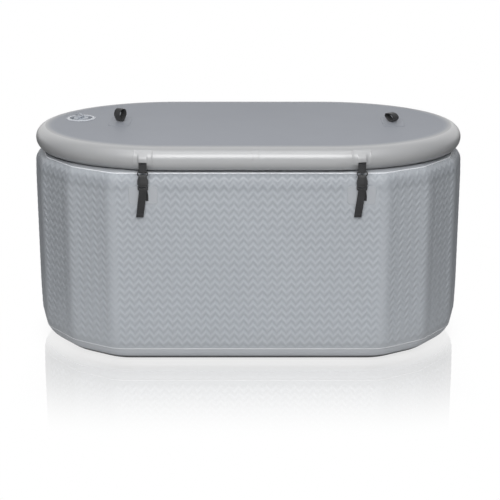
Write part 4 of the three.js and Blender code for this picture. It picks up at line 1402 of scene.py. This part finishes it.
def coil_tree():
    """A round wire wound into a coil."""
    shape = Shape("wound_wire")
    shape.input("Carrier", "Geometry")
    radius = shape.input("Coil Radius", "Float")
    wire = shape.input("Wire Radius", "Float")
    turns = shape.input("Turns", "Float")
    height = shape.input("Height", "Float")
    material = shape.input("Material", "Material")
    spiral = shape.node("GeometryNodeCurveSpiral", sockets={
        "Resolution": 28, "Rotations": turns, "Start Radius": radius, "End Radius": radius, "Height": height})
    section = shape.node("GeometryNodeCurvePrimitiveCircle", sockets={"Resolution": 10, "Radius": wire})
    wound = shape.node("GeometryNodeCurveToMesh", sockets={
        "Curve": spiral, "Profile Curve": section, "Fill Caps": True})
    shape.ends_with(wound, material)
    return shape


COIL_TREE = coil_tree()


def valve_spring(name):
    """Stands on the valve's floor, under the plunger's button."""
    low, high = VALVE_FLOOR + 0.8, PLUNGER_BUTTON - 0.8
    carrier = line_object(name, [(0, 0, 0), (0, 0, MM)], [(0, 1)])
    grown(carrier, COIL_TREE, {"Coil Radius": 5 * MM, "Wire Radius": 0.5 * MM, "Turns": 4.0,
                               "Height": (high - low) * MM, "Material": SPRING_STEEL})
    return moved(carrier, Matrix.Translation((0, 0, low * MM)))


def valve_cap(name, lug_angle, cap_angle):
    """A cap with a finger grip, on an arched tether that starts in a hinge barrel at the flange."""
    profile = [(0, 0.4), (20, 0.4), (20, -5), (22.8, -5), (22.8, 0.4), (26, 0.4), (26.4, 1.5), (25, 3.4),
               (21.5, 3.4), (21, 2.7), (0, 2.7)]
    disc = turned(name, profile, PALE_PLASTIC, 96, soft=0.6)
    grip = eased(block("grip", (36, 6, 5.4), (0, 0, 4.8), PALE_PLASTIC), 1.2, 3)
    moved(grip, Matrix.Rotation(math.radians(cap_angle), 4, "Z"))
    lug = polar(43, lug_angle, 5.1)
    root = polar(23, cap_angle, 2.4)
    middle = lug.lerp(root, 0.5)
    middle.z = 12
    above_root = Vector((root.x, root.y, 3.6))
    run = (root - lug).to_2d().normalized()
    across = Vector((run.y, -run.x, 0))
    hinge_line = polar(1, lug_angle + 90, 0)
    if across.dot(hinge_line) < 0:
        hinge_line.negate()
    path = smooth_path([lug, polar(40, lug_angle, lug.z + 1), middle, above_root, root], 1.2)
    half_way = len(path) / 2
    sides = [hinge_line.lerp(across, min(1.0, i / half_way)).normalized() for i in range(len(path))]
    tether = ribbon("tether", path, sides, 5, 1.6, PALE_PLASTIC)
    barrel = turned("barrel", [(0, -3.5), (1, -3.5), (1, 3.5), (0, 3.5)], PALE_PLASTIC, 24, soft=0.2)
    spin = Matrix.Rotation(math.radians(lug_angle), 4, "Z") @ Matrix.Rotation(math.pi / 2, 4, "X")
    moved(barrel, Matrix.Translation(MM * lug) @ spin)
    return carved(disc, [grip, tether, barrel], "UNION", 30)


def build_valve(place, matrix, lug_angle, cap_angle):
    flange = flange_plastic(place + "_plastic", matrix)
    for part, piece, slot in (
            ("body", valve_body(place + "_flange", flange), "pale_plastic"),
            ("plunger", valve_plunger(place + "_stem"), "seal_rubber"),
            ("spring", valve_spring(place + "_coil"), "spring_steel"),
            ("cap", valve_cap(place + "_lid", lug_angle, cap_angle), "pale_plastic")):
        stands_for(moved(piece, matrix), slot, place + "_" + part)
        if part == "spring":
            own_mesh(piece)


# Drain

def build_drain():
    profile = [(16, -112), (20, -112), (20, 1.2), (38, 1.2), (38, 3.6), (36, 4.9), (16, 4.9)]
    sleeve = turned("drain_tube", profile, BLACK_PLASTIC, 72, True, 0.6)
    stands_for(moved(sleeve, DRAIN), "black_plastic", "drain_sleeve")

    profile = [(21, 0.3), (37, 0.3), (37, 0.9), (21, 0.9)]
    gasket = turned("drain_washer", profile, SEAL_RUBBER, 72, True, 0.15)
    stands_for(moved(gasket, DRAIN), "seal_rubber", "drain_gasket")

    round_nut = [2 * math.pi * i / 96 for i in range(96)]
    lobes = [((31 + 1.5 * math.cos(8 * a)) * math.cos(a), (31 + 1.5 * math.cos(8 * a)) * math.sin(a))
             for a in round_nut]
    bore = [(DRAIN_HOLE * math.cos(a), DRAIN_HOLE * math.sin(a)) for a in round_nut]
    levels = ((bore, -108.3), (lobes, -108.3), (lobes, -100.3), (bore, -100.3))
    loops = [[(x, y, z) for x, y in outline] for outline, z in levels]
    nut = eased(loft("drain_ring_nut", loops, BLACK_PLASTIC, True), 0.8)
    stands_for(moved(nut, DRAIN), "black_plastic", "drain_nut")

    profile = [(0, -14), (14.6, -14), (15.6, -12), (15.6, 6.6), (26, 6.6), (26, 8.2), (24, 9.6), (0, 9.6)]
    plug = turned("drain_stopper", profile, BLACK_PLASTIC, 72, soft=0.6)
    grip = eased(block("grip", (40, 7, 4.8), (0, 0, 10.9), BLACK_PLASTIC), 1.4, 3)
    stands_for(moved(carved(plug, [grip], "UNION"), DRAIN), "black_plastic", "drain_plug")

    profile = [(16.2, 5.2), (23, 5.2), (23, 6.3), (16.2, 6.3)]
    seal = turned("drain_stopper_ring", profile, SEAL_RUBBER, 72, True, 0.4)
    stands_for(moved(seal, DRAIN), "seal_rubber", "drain_plug_seal")


# Camera, floor and light

def build_camera():
    data = bpy.data.cameras.new("front")
    data.sensor_width = 36
    data.lens = 104.08
    data.shift_x = 0.0033
    data.clip_end = 100
    camera = linked("front", data)
    camera.location = (0, -5.016, 1.8775)
    camera.rotation_euler = (math.pi / 2 - 0.307, 0, 0)
    bpy.context.scene.camera = camera


def build_floor():
    """A pale floor, white away from the tub and faintly glossy round it."""
    mesh = bpy.data.meshes.new("studio_floor")
    mesh.from_pydata([(-30, -30, 0), (30, -30, 0), (30, 30, 0), (-30, 30, 0)], [], [(0, 1, 2, 3)])
    floor = linked("studio_floor", mesh)
    floor.location.z = -0.0005
    finish = Finish("studio_floor")
    x, y, _ = finish.parts(finish.place())
    ray = finish.node("ShaderNodeLightPath", out="Is Camera Ray")
    past = finish.math("MAXIMUM", abs(x) - 0.35, 0.0)
    clear = finish.math("SQRT", past * past + y * y)
    away = finish.math("MAXIMUM", finish.smooth(clear, 0.42, 0.9), finish.smooth(abs(x), 0.55, 0.8))
    near = finish.smooth(clear, 0.325, 0.485)
    beside = finish.smooth(abs(x), 0.5, 1.3)
    card = finish.mixed(beside, (0.78, 0.78, 0.78, 1), (0.24, 0.24, 0.24, 1))
    paint = finish.mixed(ray, card, (0.9, 0.9, 0.9, 1))
    matt = finish.node("ShaderNodeBsdfDiffuse", sockets={"Color": paint})
    white = finish.node("ShaderNodeEmission", sockets={"Color": (1, 1, 1, 1), "Strength": 1.0})
    share = ray * (0.74 + near * 0.08 + away * 0.18)
    pale = finish.node("ShaderNodeMixShader", sockets={0: share, 1: matt, 2: white})
    gloss = finish.node("ShaderNodeBsdfGlossy", sockets={"Color": (1, 1, 1, 1), "Roughness": 0.02})
    reach = clear + finish.smooth(y, 0.0, 0.5) * 0.3
    below = ray * 0.36 * near * (1 - finish.smooth(reach, 0.4, 1.0))
    finish.shown(finish.node("ShaderNodeMixShader", sockets={0: below, 1: pale, 2: gloss}))
    mesh.materials.append(finish.material)


def lamp(name, place, size, power):
    """A softbox that faces the top of the tub's front."""
    data = bpy.data.lights.new(name, "AREA")
    data.shape = "RECTANGLE"
    data.size, data.size_y = size
    data.energy = power
    light = linked(name, data)
    light.location = place
    facing = Vector((0, -0.4, 0.6)) - Vector(place)
    light.rotation_euler = facing.to_track_quat("-Z", "Y").to_euler()


def build_light():
    """Two softboxes in a white studio that is dim to light and to mirrored rays, and dimmer at both sides."""
    lamp("front_softbox", (-0.1, -5.13, 4.29), (5.2, 2.6), 306)
    lamp("high_softbox", (-0.1, -1.6, 5.6), (5.4, 1.6), 84)
    world = bpy.data.worlds.new("studio")
    bpy.context.scene.world = world
    world.use_nodes = True
    world.node_tree.nodes.clear()
    sky = Tree(world.node_tree)
    white = (1, 1, 1, 1)
    ray = sky.node("ShaderNodeLightPath", out="Is Camera Ray")
    sideways, backwards, _ = sky.parts(sky.node("ShaderNodeTexCoord", out="Generated"))
    mirrored = sky.mixed(sky.smooth(backwards, 0.2, 0.7), (0.28, 0.29, 0.31, 1), white)
    around = sky.mixed(sky.smooth(backwards, 0.1, 0.8), (0.2, 0.205, 0.21, 1), (0.55, 0.56, 0.57, 1))
    around = sky.mixed(sky.smooth(abs(sideways), 0.6, 0.95), around, (0.07, 0.074, 0.078, 1))
    dim = sky.mixed(ray.out("Is Glossy Ray"), around, mirrored)
    light = sky.node("ShaderNodeBackground", sockets={"Color": sky.mixed(ray, dim, white), "Strength": 1.0})
    sky.node("ShaderNodeOutputWorld", sockets={"Surface": light})


def build_tub():
    build_camera()
    build_floor()
    build_light()
    for node in ("wall_core", "lid_core"):
        frame["nodes"][node].data.materials.clear()
        frame["nodes"][node].data.materials.append(AIR_THREADS)
    build_wall()
    build_floor_sheet()
    build_lid()
    rail_overlap()
    build_handles()
    build_valve("lid_valve", LID_VALVE, 122, 66)
    build_valve("wall_valve", WALL_VALVE, 90, 90)
    build_drain()
    build_stitching()
    for side, (x, turn) in STRAPS.items():
        build_strap(side, x, turn)


bpy.context.scene.view_settings.view_transform = "Standard"
build_tub()
